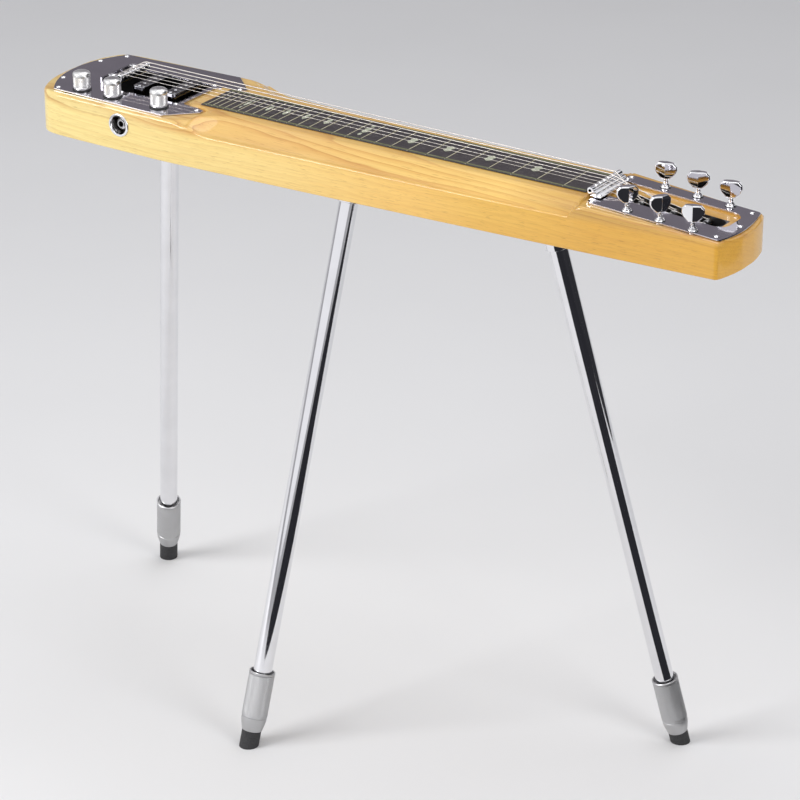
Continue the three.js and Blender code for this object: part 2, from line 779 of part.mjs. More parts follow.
// Bridge: a chrome base on the control plate, a grooved saddle bar and two round posts.
const bridge = {
  baseStart: -23,
  baseEnd: -6,
  half: 27,
  thickness: 2,
  wallHeight: 7,
  wallThickness: 2,
  postX: -14,
  postHalf: 18,
  postRadius: 4,
  postTop: 7,
  postCrownShare: 0.6,
  saddleHalfWidth: 3.4,
  saddleBottom: -2.6,
};
const stringEnds = { bridgeHalf: 22.7, nutHalf: 20, bridgeZ: 10.9, nutZ: 6.8 };
const stringRadii = [0.19, 0.23, 0.3, 0.38, 0.46, 0.53];

function bridgeBaseGeometry() {
  const b = bridge;
  const low = controlPlateTop + seat;
  const base = box(b.baseStart, b.baseEnd, -b.half, b.half, low, low + b.thickness);
  const wall = box(b.baseStart, b.baseStart + b.wallThickness, -b.half, b.half, low, low + b.wallHeight);
  const posts = [-1, 1].map((side) =>
    turned(
      [
        [0, low + b.thickness / 2],
        [b.postRadius, low + b.thickness / 2],
        [b.postRadius, b.postTop - b.thickness / 2],
        [b.postRadius * b.postCrownShare, b.postTop],
        [0, b.postTop],
      ],
      smallSides,
    ).translate(b.postX, side * b.postHalf, 0),
  );
  return joined(base, wall, ...posts);
}

// The saddle bar bends round the strings' line: its top is a half round, its foot stands on the base.
function saddleBarGeometry() {
  const b = bridge;
  const top = stringEnds.bridgeZ - Math.max(...stringRadii) - seat;
  const shape = new THREE.Shape();
  const low = controlPlateTop + 2 * seat + b.thickness;
  shape.moveTo(b.baseEnd - b.saddleHalfWidth, low);
  shape.lineTo(b.baseEnd, low);
  shape.lineTo(b.baseEnd, low + b.thickness);
  shape.lineTo(b.saddleHalfWidth, low + 2 * b.thickness);
  shape.lineTo(b.saddleHalfWidth, top - b.saddleHalfWidth);
  shape.absarc(0, top - b.saddleHalfWidth, b.saddleHalfWidth, 0, Math.PI, false);
  shape.lineTo(-b.saddleHalfWidth, low + 2 * b.thickness);
  shape.lineTo(b.baseEnd - b.saddleHalfWidth, low + 2 * b.thickness);
  return slab(shape, -b.half + b.thickness, b.half - b.thickness).rotateX(Math.PI / 2);
}

// Nut: an angle bracket with a round bar along its top edge that carries the strings.
const nut = {
  half: 29,
  barRadius: 3.4,
  wallThickness: 2.4,
  wallHalf: 27,
  footLength: 12,
  footThickness: 1.4,
  footHalf: 31,
};

function nutGeometry() {
  const n = nut;
  const barZ = stringEnds.nutZ - Math.max(...stringRadii) - seat - n.barRadius;
  const wallX = nutX + body.headStep;
  const footZ = headTopAt(wallX) + seat;
  const [near, far] = [wallX - n.wallThickness / 2, wallX + n.wallThickness / 2];
  const bar = crosswise(n.barRadius, -n.half, n.half, smallSides).translate(nutX, 0, barZ);
  const wall = box(near, far, -n.wallHalf, n.wallHalf, headBedAt(wallX) + seat, barZ);
  const end = wallX + n.footLength;
  const foot = box(wallX, end, -n.footHalf, n.footHalf, footZ, footZ + n.footThickness);
  return joined(bar, wall, foot);
}

// Pickups: two bars with rounded corners that stand in the well.
const pickup = { xs: [25, 65], width: 15, half: 26, top: 3, corner: 4, bevel: 1 };

function pickupGeometry(x) {
  const p = pickup;
  const [w, l] = [p.width / 2 - p.bevel, p.half - p.bevel];
  const r = p.corner - p.bevel;
  const shape = new THREE.Shape();
  shape.moveTo(-w + r, -l);
  shape.lineTo(w - r, -l);
  shape.absarc(w - r, -l + r, r, -Math.PI / 2, 0, false);
  shape.absarc(w - r, l - r, r, 0, Math.PI / 2, false);
  shape.absarc(-w + r, l - r, r, Math.PI / 2, Math.PI, false);
  shape.absarc(-w + r, -l + r, r, Math.PI, -Math.PI / 2, false);
  const bottom = -well.pickupDepth + seat;
  const made = new THREE.ExtrudeGeometry(shape, {
    depth: p.top - bottom - 2 * p.bevel,
    bevelSize: p.bevel,
    bevelThickness: p.bevel,
    bevelSegments: 1,
    curveSegments: 3,
  });
  return made.translate(x, 0, bottom + p.bevel);
}

// Fretboard: a thin flat board let flush on the raised wood.
const board = { start: 107.5, half: 27.2, endGap: 5.5 };

function boardGeometry() {
  const end = nutX - board.endGap;
  return box(board.start, end, -board.half, board.half, -body.boardSeat + seat, 0);
}

// A thin round string through points, with its ends square and its corners mitred.
const stringSides = 6;
function stringGeometry(points, radius) {
  const path = points.map((p) => new THREE.Vector3(...p));
  const rings = path.map((p, k) => {
    const before = k ? p.clone().sub(path[k - 1]).normalize() : null;
    const after = k < path.length - 1 ? path[k + 1].clone().sub(p).normalize() : null;
    const along = (before ?? after).clone().add(after ?? before).normalize();
    const across = new THREE.Vector3(0, 1, 0).cross(along).normalize();
    const aside = across.clone().cross(along);
    return Array.from({ length: stringSides }, (_, i) => {
      const angle = (i / stringSides) * 2 * Math.PI;
      const q = p.clone().addScaledVector(aside, radius * Math.cos(angle));
      return q.addScaledVector(across, radius * Math.sin(angle)).toArray();
    });
  });
  return lofted(rings);
}

const bendShare = 0.3; // the string leaves the saddle bar this far down its half width
function stringPieces(parent) {
  for (let i = 0; i < stringCount; i++) {
    const radius = stringRadii[i];
    const share = (2 * i) / (stringCount - 1) - 1;
    const [yBridge, yNut] = [share * stringEnds.bridgeHalf, share * stringEnds.nutHalf];
    const side = share < 0 ? -1 : 1;
    const rank = side < 0 ? i : stringCount - 1 - i;
    const x = tuner.xs[rank];
    const rollerX = x - gearOffset;
    const rollerTop = headTopAt(x) - tuner.rollerDrop + tuner.rollerRadius + seat + radius;
    const yRoller = side * halfway(tuner.rollerInner, slot.half);
    const anchorX = bridge.baseStart + bridge.wallThickness + seat;
    const half = bridge.saddleHalfWidth;
    const points = [
      [anchorX, yBridge, controlPlateTop + seat + bridge.wallHeight - 2 * bridge.thickness],
      [-half, yBridge, stringEnds.bridgeZ - half * bendShare],
      [0, yBridge, stringEnds.bridgeZ],
      [nutX, yNut, stringEnds.nutZ],
      [rollerX - tuner.rollerRadius / 2, yRoller, rollerTop],
      [rollerX + tuner.rollerRadius / 2, yRoller, rollerTop],
    ];
    piece(parent, "string_" + (i + 1), stringGeometry(points, radius), nickelString);
  }
}

// Legs: chrome tubes screwed to flanges under the body, each with a collar and a sliding inner tube.
// Each leg's splay is how far its foot stands out along X and Y, as a share of the leg's height.
const leg = {
  firstX: 45,
  lastGap: 59.5, // last leg to the nut
  splayShares: [
    [-0.2135, 0.2364],
    [-0.0487, -0.2704],
    [0.1927, 0.1597],
  ],
  tubeRadius: 10,
  tubeWall: 1.5,
  flangeRadius: 31,
  flangeThickness: 4,
  socketRadius: 13.2,
  socketDepth: 28,
  tubeStart: 9,
  reach: 4.6, // how much longer than the leg's height its metal is
  taperLength: 14,
  gripLength: 52,
  stopLength: 30,
  collarRadius: 14,
  collarTipRadius: 10.8,
  collarMouth: 12.2,
  mouthDepth: 5,
  rodWall: 1.4,
  rodLength: 274,
  rodInFoot: 7,
  footRadius: 10.4,
};
leg.height = playingHeight - bodyDepth;
leg.pitch = (nutX - leg.lastGap - leg.firstX) / (leg.splayShares.length - 1);
leg.rodRadius = leg.tubeRadius - leg.tubeWall - running;
leg.taperEnd = leg.height + leg.reach;
leg.collarEnd = leg.taperEnd - leg.taperLength;
leg.collarStart = leg.collarEnd - leg.gripLength;
leg.tubeEnd = leg.taperEnd - leg.stopLength;
leg.rodStart = leg.taperEnd - leg.rodLength;

const hollow = (outer, inner, z0, z1, sides = roundSides) =>
  turnedRing(
    [
      [inner, z0],
      [outer, z0],
      [outer, z1],
      [inner, z1],
    ],
    sides,
  );

function legPieces(parent, index) {
  const l = leg;
  const name = ["a", "b", "c"][index];
  const attach = new THREE.Vector3(l.firstX + index * l.pitch, 0, -bodyDepth);
  const [alongShare, acrossShare] = l.splayShares[index];
  const down = new THREE.Vector3(alongShare * l.height, acrossShare * l.height, -l.height);
  const foot = attach.clone().add(down);
  const length = down.length();
  const group = new THREE.Group();
  group.position.copy(attach);
  group.quaternion.setFromUnitVectors(new THREE.Vector3(0, 0, -1), down.normalize());
  parent.add(group);
  group.updateMatrix();

  // Flange: a round plate flat under the body with a socket that takes the tube at its splay.
  const rim = l.flangeRadius;
  const disc = upright(rim, -seat - l.flangeThickness, -seat);
  const sleeve = upright(l.socketRadius, -l.socketDepth, 0).applyQuaternion(group.quaternion);
  const above = box(-rim, rim, -rim, rim, -seat, rim);
  const bore = upright(l.tubeRadius + seat, -l.socketDepth - overrun, -l.tubeStart + seat);
  bore.applyQuaternion(group.quaternion);
  const flange = cut(joined(disc, sleeve), above, bore).translate(...attach.toArray());
  piece(parent, "leg_flange_" + name, flange, chrome);

  const tube = hollow(l.tubeRadius, l.tubeRadius - l.tubeWall, -l.tubeEnd, -l.tubeStart);
  piece(group, "leg_tube_" + name, tube, chrome);

  const collar = turnedRing([
    [l.rodRadius + seat, -l.taperEnd],
    [l.collarTipRadius, -l.taperEnd],
    [l.collarRadius, -l.collarEnd],
    [l.collarRadius, -l.collarStart],
    [l.collarMouth, -l.collarStart],
    [l.collarMouth, -l.collarStart - l.mouthDepth],
    [l.tubeRadius + seat, -l.collarStart - l.mouthDepth],
    [l.tubeRadius + seat, -l.tubeEnd - seat],
    [l.rodRadius + seat, -l.tubeEnd - seat],
  ]);
  piece(group, "leg_collar_" + name, collar, satinMetal);

  const rodEnd = -l.taperEnd - l.rodInFoot;
  const rod = hollow(l.rodRadius, l.rodRadius - l.rodWall, rodEnd, -l.rodStart);
  piece(group, "leg_rod_" + name, rod, steel);

  // Rubber foot: a cup round the rod's end, cut level with the floor.
  const cup = turned([
    [0, -length - l.footRadius],
    [l.footRadius, -length - l.footRadius],
    [l.footRadius, -l.taperEnd - seat],
    [l.rodRadius + seat, -l.taperEnd - seat],
    [l.rodRadius + seat, rodEnd - seat],
    [0, rodEnd - seat],
  ]);
  const deep = l.footRadius + l.flangeRadius;
  const ground = box(-deep, deep, -deep, deep, -deep, 0).applyMatrix4(
    group.matrix.clone().invert().multiply(new THREE.Matrix4().makeTranslation(foot)),
  );
  piece(group, "leg_foot_" + name, cut(cup, ground), blackRubber);
}

// Assembly
const guitar = new THREE.Group();
guitar.position.z = playingHeight;
piece(guitar, "body", bodyGeometry(), honeyWood);
piece(guitar, "control_plate", controlPlateGeometry(), mirrorPlate);
piece(guitar, "tuner_plate", headPlateGeometry(), mirrorPlate);
piece(guitar, "fretboard", boardGeometry(), darkBoard);
piece(guitar, "nut_bracket", nutGeometry(), chrome);
piece(guitar, "bridge_base", bridgeBaseGeometry(), chrome);
piece(guitar, "saddle_bar", saddleBarGeometry(), chrome);
pickup.xs.forEach((x, i) => piece(guitar, "pickup_" + (i + 1), pickupGeometry(x), blackPlastic));
piece(guitar, "jack_cup", jackCupGeometry(), chrome);
piece(guitar, "jack_socket", jackSocketGeometry(), steel);
knobPlaces.forEach(([x, y], i) => knobPieces(guitar, x, y, "_" + (i + 1)));
stringPieces(guitar);
for (const side of [-1, 1]) tuner.xs.forEach((_, i) => tunerPieces(guitar, side, i));
leg.splayShares.forEach((_, i) => legPieces(guitar, i));

// The frame's origin is on the floor under the middle of the whole guitar.
const model = new THREE.Group();
model.add(guitar);
model.updateMatrixWorld(true);
const middle = new THREE.Box3().setFromObject(model, true).getCenter(new THREE.Vector3());
guitar.position.x = -middle.x;
guitar.position.y = -middle.y;
model.updateMatrixWorld(true);

export default model;
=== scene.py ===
import math

import bpy
from mathutils import Matrix, Vector


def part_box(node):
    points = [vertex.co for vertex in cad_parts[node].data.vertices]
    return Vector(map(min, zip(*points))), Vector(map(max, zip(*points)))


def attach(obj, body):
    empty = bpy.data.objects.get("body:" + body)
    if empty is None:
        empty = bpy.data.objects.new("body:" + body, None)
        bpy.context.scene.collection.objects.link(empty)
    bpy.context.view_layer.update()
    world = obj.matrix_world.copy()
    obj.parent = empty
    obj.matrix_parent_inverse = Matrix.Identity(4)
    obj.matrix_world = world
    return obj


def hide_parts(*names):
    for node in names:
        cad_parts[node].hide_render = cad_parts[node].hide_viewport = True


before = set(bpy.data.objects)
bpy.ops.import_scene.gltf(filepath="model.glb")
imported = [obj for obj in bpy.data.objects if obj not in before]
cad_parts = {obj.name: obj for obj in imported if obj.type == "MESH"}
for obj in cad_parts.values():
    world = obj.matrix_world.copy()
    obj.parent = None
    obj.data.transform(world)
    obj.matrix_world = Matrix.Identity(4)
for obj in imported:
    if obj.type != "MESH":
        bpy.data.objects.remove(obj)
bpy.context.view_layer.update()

# Camera: stands beyond the head on the side with the knobs, and looks down along the guitar.
# Places are given in millimetres from the bridge line, the centreline and the fretboard's top.
board_low, board_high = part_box("fretboard")
bridge_line = Vector((board_low.x - 0.1075, (board_low.y + board_high.y) / 2, board_high.z))


def spot(x, y, z=0.0):
    """A place on the guitar, from millimetres."""
    return bridge_line + Vector((x, y, z)) / 1000


lens = bpy.data.cameras.new("studio_camera")
lens.lens = 151.9
lens.sensor_width = 36
lens.clip_end = 60
camera = bpy.data.objects.new("studio_camera", lens)
camera.location = spot(2077.2, -2667.1, 1171.5)
VIEW_TILT, VIEW_HEADING = 65.37, 33.16
camera.rotation_euler = (math.radians(VIEW_TILT), 0, math.radians(VIEW_HEADING))
bpy.context.scene.collection.objects.link(camera)
bpy.context.scene.camera = camera
bpy.context.scene.view_settings.view_transform = "Standard"


# Studio: a wide pale floor, a pale surround and three soft lamps, the strongest on the left.
# Three dark screens that the camera doesn't see give the chrome something to mirror.
def put(tree, kind, sockets=None, **settings):
    """Adds a shader node, sets it up, and wires or fills its sockets."""
    made = tree.nodes.new("ShaderNode" + kind)
    for name, value in settings.items():
        setattr(made, name, value)
    for key, value in (sockets or {}).items():
        if isinstance(value, bpy.types.NodeSocket):
            tree.links.new(value, made.inputs[key])
        else:
            made.inputs[key].default_value = value
    return made


def first(tree, kind, sockets=None, **settings):
    """The first output of a new shader node."""
    return put(tree, kind, sockets, **settings).outputs[0]


def own_place(tree):
    """Where each point lies, for a pattern that keeps to its piece."""
    return put(tree, "TexCoord").outputs["Object"]


def noise(tree, place, scale, detail, roughness=0.5):
    """The strength of a cloudy pattern."""
    sockets = {"Vector": place, "Scale": scale, "Detail": detail, "Roughness": roughness}
    return first(tree, "TexNoise", sockets)


def scaled(tree, value, low, high, start=0, end=1):
    """A number brought from the range start to end over to the range low to high."""
    sockets = {"Value": value, "From Min": start, "From Max": end, "To Min": low, "To Max": high}
    return first(tree, "MapRange", sockets)


def ramp(tree, value, *stops):
    """A colour for a number from 0 to 1, from pairs of place and colour."""
    made = put(tree, "ValToRGB", {"Fac": value})
    elements = made.color_ramp.elements
    while len(elements) < len(stops):
        elements.new(0.5)
    for element, (place, color) in zip(elements, stops):
        element.position = place
        element.color = (*color, 1)
    return made.outputs[0]


def new_finish(name, color, metallic, roughness):
    """A material with a plain surface shader, ready for its pattern."""
    material = bpy.data.materials.new(name)
    material.use_nodes = True
    shader = material.node_tree.nodes["Principled BSDF"]
    shader.inputs["Base Color"].default_value = (*color, 1)
    shader.inputs["Metallic"].default_value = metallic
    shader.inputs["Roughness"].default_value = roughness
    return material, material.node_tree, shader


surround = bpy.data.worlds.new("pale_surround")
bpy.context.scene.world = surround
surround.use_nodes = True
surround_tree = surround.node_tree
ray = put(surround_tree, "LightPath").outputs
seen = first(surround_tree, "Math", {0: ray["Is Camera Ray"], 1: ray["Is Glossy Ray"]}, operation="MAXIMUM")
seen = first(surround_tree, "Math", {0: seen, 1: ray["Is Transmission Ray"]}, operation="MAXIMUM")
level = scaled(surround_tree, seen, 0.42, 0.95)
surround_tree.nodes["Background"].inputs["Color"].default_value = (0.97, 0.97, 1.0, 1)
surround_tree.links.new(level, surround_tree.nodes["Background"].inputs["Strength"])

bpy.ops.object.select_all(action="DESELECT")
bpy.ops.mesh.primitive_plane_add(size=30, location=(0, 0, 0))
floor = bpy.context.object
floor.name = "studio_floor"
floor_finish, floor_tree, floor_shader = new_finish("floor_paper", (0.8, 0.8, 0.81), 0, 0.85)
floor_cloud = noise(floor_tree, own_place(floor_tree), 3, 2)
floor_tint = ramp(floor_tree, floor_cloud, (0.0, (0.78, 0.78, 0.79)), (1.0, (0.82, 0.82, 0.83)))
floor_tree.links.new(floor_tint, floor_shader.inputs["Base Color"])
floor.data.materials.append(floor_finish)


def lamp(name, size, power, place, target):
    """A square soft lamp that faces a place."""
    light = bpy.data.lights.new(name, "AREA")
    light.size = size
    light.energy = power
    body = bpy.data.objects.new(name, light)
    body.location = place
    body.rotation_euler = (Vector(target) - Vector(place)).to_track_quat("-Z", "Y").to_euler()
    bpy.context.scene.collection.objects.link(body)


lamp("key_lamp", 1.6, 68, (-1.75, -2.3, 2.1), (-0.1, 0, 0.6))
lamp("top_lamp", 1.8, 22, (0.1, 0.5, 3.0), (0, 0, 0.6))
lamp("fill_lamp", 1.2, 26, (2.7, -0.7, 1.5), (0.1, 0, 0.55))


def dark_screen(name, width, height, place, heading, tone, tilt=90):
    """A dark cloth screen that only shows in what the chrome and the lacquer mirror."""
    bpy.ops.object.select_all(action="DESELECT")
    turn = (math.radians(tilt), 0, math.radians(heading))
    bpy.ops.mesh.primitive_plane_add(size=1, location=place, rotation=turn)
    screen = bpy.context.object
    screen.name = name
    screen.scale = (width, height, 1)
    material = bpy.data.materials.new(name)
    material.use_nodes = True
    tree = material.node_tree
    tree.nodes.clear()
    weave = noise(tree, own_place(tree), 7, 4)
    darker, lighter = ([share * c for c in tone] for share in (0.85, 1.15))
    shade = ramp(tree, weave, (0.3, darker), (0.7, lighter))
    glow = first(tree, "Emission", {"Color": shade, "Strength": 1})
    put(tree, "OutputMaterial", {"Surface": glow})
    screen.data.materials.append(material)
    screen.visible_camera = False
    screen.visible_diffuse = False
    screen.visible_shadow = False


dark_screen("back_screen", 4.8, 2.8, (-1.9, 2.75, 2.25), VIEW_HEADING, (0.225, 0.21, 0.235))
dark_screen("right_screen", 3.2, 2.2, (1.55, 0.9, 1.1), 118, (0.03, 0.03, 0.035))
dark_screen("floor_screen", 3.0, 3.4, (1.85, -1.5, 0.01), 0, (0.025, 0.025, 0.03), 0)


# Wood body: one long board of pale ash, planed to its outline, its sides scooped by a cutter and its
# edges rounded by hand, with wells for the pickups, the controls and the tuners. Gloss lacquer.
def only(piece):
    """Leaves one piece selected and active."""
    bpy.ops.object.select_all(action="DESELECT")
    piece.select_set(True)
    bpy.context.view_layer.objects.active = piece


def work(piece, kind, **settings):
    """Adds a modifier with its settings and applies it."""
    only(piece)
    modifier = piece.modifiers.new(kind.lower(), kind)
    for name, value in settings.items():
        setattr(modifier, name, value)
    bpy.ops.object.modifier_apply(modifier=modifier.name)


def smooth_over(piece, degrees):
    """Shades a piece smooth except across edges sharper than an angle."""
    only(piece)
    bpy.ops.object.shade_smooth_by_angle(angle=math.radians(degrees))


def settle(piece, body, slot, material, *stands_for):
    """Gives a finished piece its material and its body, and hides the frame nodes that it stands for."""
    piece.data.materials.clear()
    piece.data.materials.append(material)
    for face in piece.data.polygons:
        face.material_index = 0
    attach(piece, body)
    if stands_for:
        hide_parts(*stands_for)


def between(a, b, share):
    """A value that lies a share of the way from one to another."""
    return a + (b - a) * share


def eased(value, start, end):
    """Nought before start, one after end, and a soft rise between them."""
    share = min(1, max(0, (value - start) / (end - start)))
    return share * share * (3 - 2 * share)


TAIL, SHOULDER, NUT, HEAD = -86, 90, 571.5, 729.5
TAIL_HALF, SHOULDER_HALF, HEAD_HALF = 73, 76.5, 46.5
TAIL_CURVE, HEAD_CURVE = 145, 136
TAIL_CORNER, HEAD_CORNER = 8, 22
BODY_BOTTOM = -51.2
TOP_ROUND, SCOOP_ROUND, UNDER_ROUND = 3.8, 2.0, 2.0
CONTROL_BED, BOARD_BED = -5.0, -1.5
HEAD_TOP, HEAD_SLOPE, PLATE_SEAT = -2.7, 0.06, 1.8
PLATEAU, BLOCK, STEP = 35.5, 29, 0.8
BLOCK_START, BLOCK_WIDENS, RAMP_START, RAMP_END = 93, 107, 117.8, 124
PLATEAU_END, HEAD_STEP = 570, 1.4
SCOOP_START, SCOOP_FULL, SCOOP_END, SCOOP_FADE = 98, 150, 560, 15
SCOOP_REACH = (92, 160)
SCOOP_DEPTHS = (14.2, 17)
SLOPE_POINTS = 22


def head_top(x):
    """Top of the tuner plate, which slopes towards the tip."""
    return HEAD_TOP - HEAD_SLOPE * (x - NUT)


def side_at(x):
    """Half the board's width, without its round ends."""
    if x < SHOULDER:
        return between(TAIL_HALF, SHOULDER_HALF, (x - TAIL) / (SHOULDER - TAIL))
    share = (x - SHOULDER) / (HEAD - SHOULDER)
    return between(SHOULDER_HALF, HEAD_HALF, 0.72 * share + 0.28 * share * share)


def half_at(x):
    """Half the outline's width, with the round ends and their soft corners."""

    def arc(radius, depth):
        return radius if depth >= radius else math.sqrt(max(1e-9, depth * (2 * radius - depth)))

    def soft(a, b, power):
        return (a**-power + b**-power) ** (-1 / power)

    half = soft(side_at(x), arc(TAIL_CURVE, x - TAIL), TAIL_CORNER)
    return soft(half, arc(HEAD_CURVE, HEAD - x), HEAD_CORNER)


def bed_at(x):
    """The flat level that the scoops start from."""
    if x < BLOCK_START:
        return CONTROL_BED
    if x > PLATEAU_END:
        share = min(1, (x - PLATEAU_END) / HEAD_STEP)
        return between(BOARD_BED, head_top(x) - PLATE_SEAT, share)
    return between(CONTROL_BED, BOARD_BED, eased(x, RAMP_START, RAMP_END))


def edge_drop(x, y, radius):
    """How far a rounded edge has come down at a point of the outline's plan."""
    nearest = min(half_at(x) - y, x - TAIL, HEAD - x)
    if nearest < radius * 1.5:
        for step in range(-24, 25):
            other = x + step * radius / 12
            if TAIL < other < HEAD:
                nearest = min(nearest, math.hypot(other - x, max(0, half_at(other) - y)))
    inside = max(0, radius - nearest)
    return radius - math.sqrt(max(0, radius * radius - inside * inside))


def top_columns(x):
    """The section's top half at a station, from the side inwards."""
    half = half_at(x)
    depth = eased(x, SCOOP_START, SCOOP_FULL) * (1 - eased(x, SCOOP_END, SCOOP_END + SCOOP_FADE))
    radius = between(TOP_ROUND, SCOOP_ROUND, depth)
    drop = between(*SCOOP_DEPTHS, eased(x, SCOOP_START, SCOOP_END))
    low = between(bed_at(x), -drop, depth)
    inner = between(PLATEAU, max(half - radius, PLATEAU), 1 - eased(x, *SCOOP_REACH))
    block = between(BLOCK, PLATEAU - STEP, eased(x, BLOCK_WIDENS, RAMP_END))
    narrow = min(1, half / PLATEAU)
    start = half - radius * narrow
    end = min(inner, start - STEP * narrow)
    foot = min(block + STEP, end - STEP * narrow / 2)
    rim = [half - radius * narrow * (1 - math.cos(math.radians(a))) for a in (0, 18, 34, 50, 66, 80)]
    columns = rim + [between(start, end, i / SLOPE_POINTS) for i in range(SLOPE_POINTS + 1)]
    columns += [foot, min(block, foot - STEP * narrow / 2)]
    raised = BLOCK_START + STEP < x < PLATEAU_END
    points = []
    for i, y in enumerate(columns):
        share = eased((start - y) / max(1e-6, start - end), 0, 1)
        height = between(low, bed_at(x), share)
        if raised and i == len(columns) - 1:
            height = BOARD_BED
        points.append((y, height - edge_drop(x, y, radius)))
    return points


def section(x):
    """All points round the body at a station."""
    half = half_at(x)
    narrow = min(1, half / PLATEAU)
    under = [half - UNDER_ROUND * narrow * (1 - math.cos(math.radians(a))) for a in (0, 20, 38, 56, 74, 90)]
    bottom = [(y, BODY_BOTTOM + edge_drop(x, y, UNDER_ROUND)) for y in reversed(under)]
    far = bottom + top_columns(x)
    near = [(-y, z) for y, z in reversed(far)]
    return [spot(x, y, z) for y, z in far + near]


def stations():
    """Places along the board, close together where its shape turns."""
    tail_shares = (0.004, 0.008, 0.014, 0.022, 0.034, 0.05, 0.07, 0.095, 0.125, 0.16, 0.2, 0.25)
    head_shares = (4.5, 3.6, 2.9, 2.3, 1.8, 1.4, 1.1, 0.8, 0.55, 0.34, 0.18, 0.09)
    marks = [TAIL - TAIL * share for share in tail_shares]
    marks += [marks[-1] + i * 5.2 for i in range(1, 29)]
    marks += [HEAD - TOP_ROUND * share for share in head_shares]
    marks += [BLOCK_START, BLOCK_START + STEP / 2, BLOCK_START + STEP, BLOCK_START + 2 * STEP]
    marks += [569.8, PLATEAU_END, PLATEAU_END + HEAD_STEP / 2, PLATEAU_END + HEAD_STEP]
    # Each run of stations has its start, its pace and its length.
    runs = ((88, 1.0, 5), (96, 1.25, 55), (168, 5.0, 79), (560.8, 0.8, 11), (572.5, 1.5, 3), (580, 5.2, 25))
    for start, pace, length in runs:
        marks += [start + i * pace for i in range(length)]
    return sorted(set(round(x, 4) for x in marks if TAIL < x < HEAD))


rings = [section(x) for x in stations()]
count = len(rings[0])
points = [p for ring in rings for p in ring]
faces = [tuple(reversed(range(count)))]
for k in range(len(rings) - 1):
    for i in range(count):
        a, b = k * count + i, k * count + (i + 1) % count
        faces.append((a, b, b + count, a + count))
faces.append(tuple(range((len(rings) - 1) * count, len(rings) * count)))
wood_mesh = bpy.data.meshes.new("wood_body")
wood_mesh.from_pydata(points, [], faces)
wood = bpy.data.objects.new("wood_body", wood_mesh)
bpy.context.scene.collection.objects.link(wood)
only(wood)
bpy.ops.object.mode_set(mode="EDIT")
bpy.ops.mesh.select_all(action="SELECT")
bpy.ops.mesh.remove_doubles(threshold=1e-7)
bpy.ops.mesh.normals_make_consistent(inside=False)
bpy.ops.object.mode_set(mode="OBJECT")


def block(name, low, high):
    """A box between two places on the guitar, with its place in its mesh."""
    a, b = spot(*low), spot(*high)
    bpy.ops.object.select_all(action="DESELECT")
    bpy.ops.mesh.primitive_cube_add(size=1, location=(a + b) / 2)
    made = bpy.context.object
    made.name = name
    made.scale = b - a
    bpy.ops.object.transform_apply()
    return made


def rod(name, radius, start, end, sides=48):
    """A round bar between two places on the guitar, with its place in its mesh."""
    a, b = spot(*start), spot(*end)
    bpy.ops.object.select_all(action="DESELECT")
    bpy.ops.mesh.primitive_cylinder_add(vertices=sides, radius=radius / 1000, depth=(b - a).length)
    made = bpy.context.object
    made.name = name
    turn = (b - a).to_track_quat("Z", "Y").to_matrix().to_4x4()
    made.data.transform(Matrix.Translation((a + b) / 2) @ turn)
    return made


def carve(piece, *cutters):
    """Cuts the cutters out of a piece and throws them away."""
    for cutter in cutters:
        work(piece, "BOOLEAN", object=cutter, operation="DIFFERENCE", solver="EXACT")
        bpy.data.objects.remove(cutter)


def pick_none(piece, kind):
    """Clears what is selected of a piece's points, edges or faces."""
    only(piece)
    bpy.ops.object.mode_set(mode="EDIT")
    bpy.ops.mesh.select_mode(type=kind)
    bpy.ops.mesh.select_all(action="DESELECT")
    bpy.ops.object.mode_set(mode="OBJECT")


def long_hole(name, x0, x1, near, far, corner, low, high):
    """A cutter for a long hole whose corners towards the head are rounded."""
    made = block(name, (x0, near, low), (x1, far, high))
    pick_none(made, "EDGE")
    end = spot(x1, 0).x - 1e-5
    for edge in made.data.edges:
        a, b = (made.data.vertices[v].co for v in edge.vertices)
        edge.select = min(a.x, b.x) > end and abs(a.y - b.y) < 1e-6
    bpy.ops.object.mode_set(mode="EDIT")
    bpy.ops.mesh.bevel(offset=corner / 1000, segments=20)
    bpy.ops.object.mode_set(mode="OBJECT")
    return made


def sloped(piece):
    """Lets a level shape follow the slope of the head."""
    for vertex in piece.data.vertices:
        x = (vertex.co.x - bridge_line.x) * 1000
        vertex.co.z += head_top(x) / 1000
    return piece


knob_spots = []
for number in "123":
    knob_low, knob_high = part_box("knob_" + number)
    knob_spots.append(((knob_low + knob_high) / 2 - bridge_line) * 1000)
jack_low, jack_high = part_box("jack_cup")
jack_at = ((jack_low + jack_high) / 2 - bridge_line) * 1000
FIRST_TUNER, TUNER_PITCH, TUNER_HALF = 46, 35.7, 37.8
TUNERS = [NUT + FIRST_TUNER + TUNER_PITCH * i for i in range(3)]
GEAR_OFFSET = 7.67
WELL_FLOOR, BAY_FLOOR = -37, -20

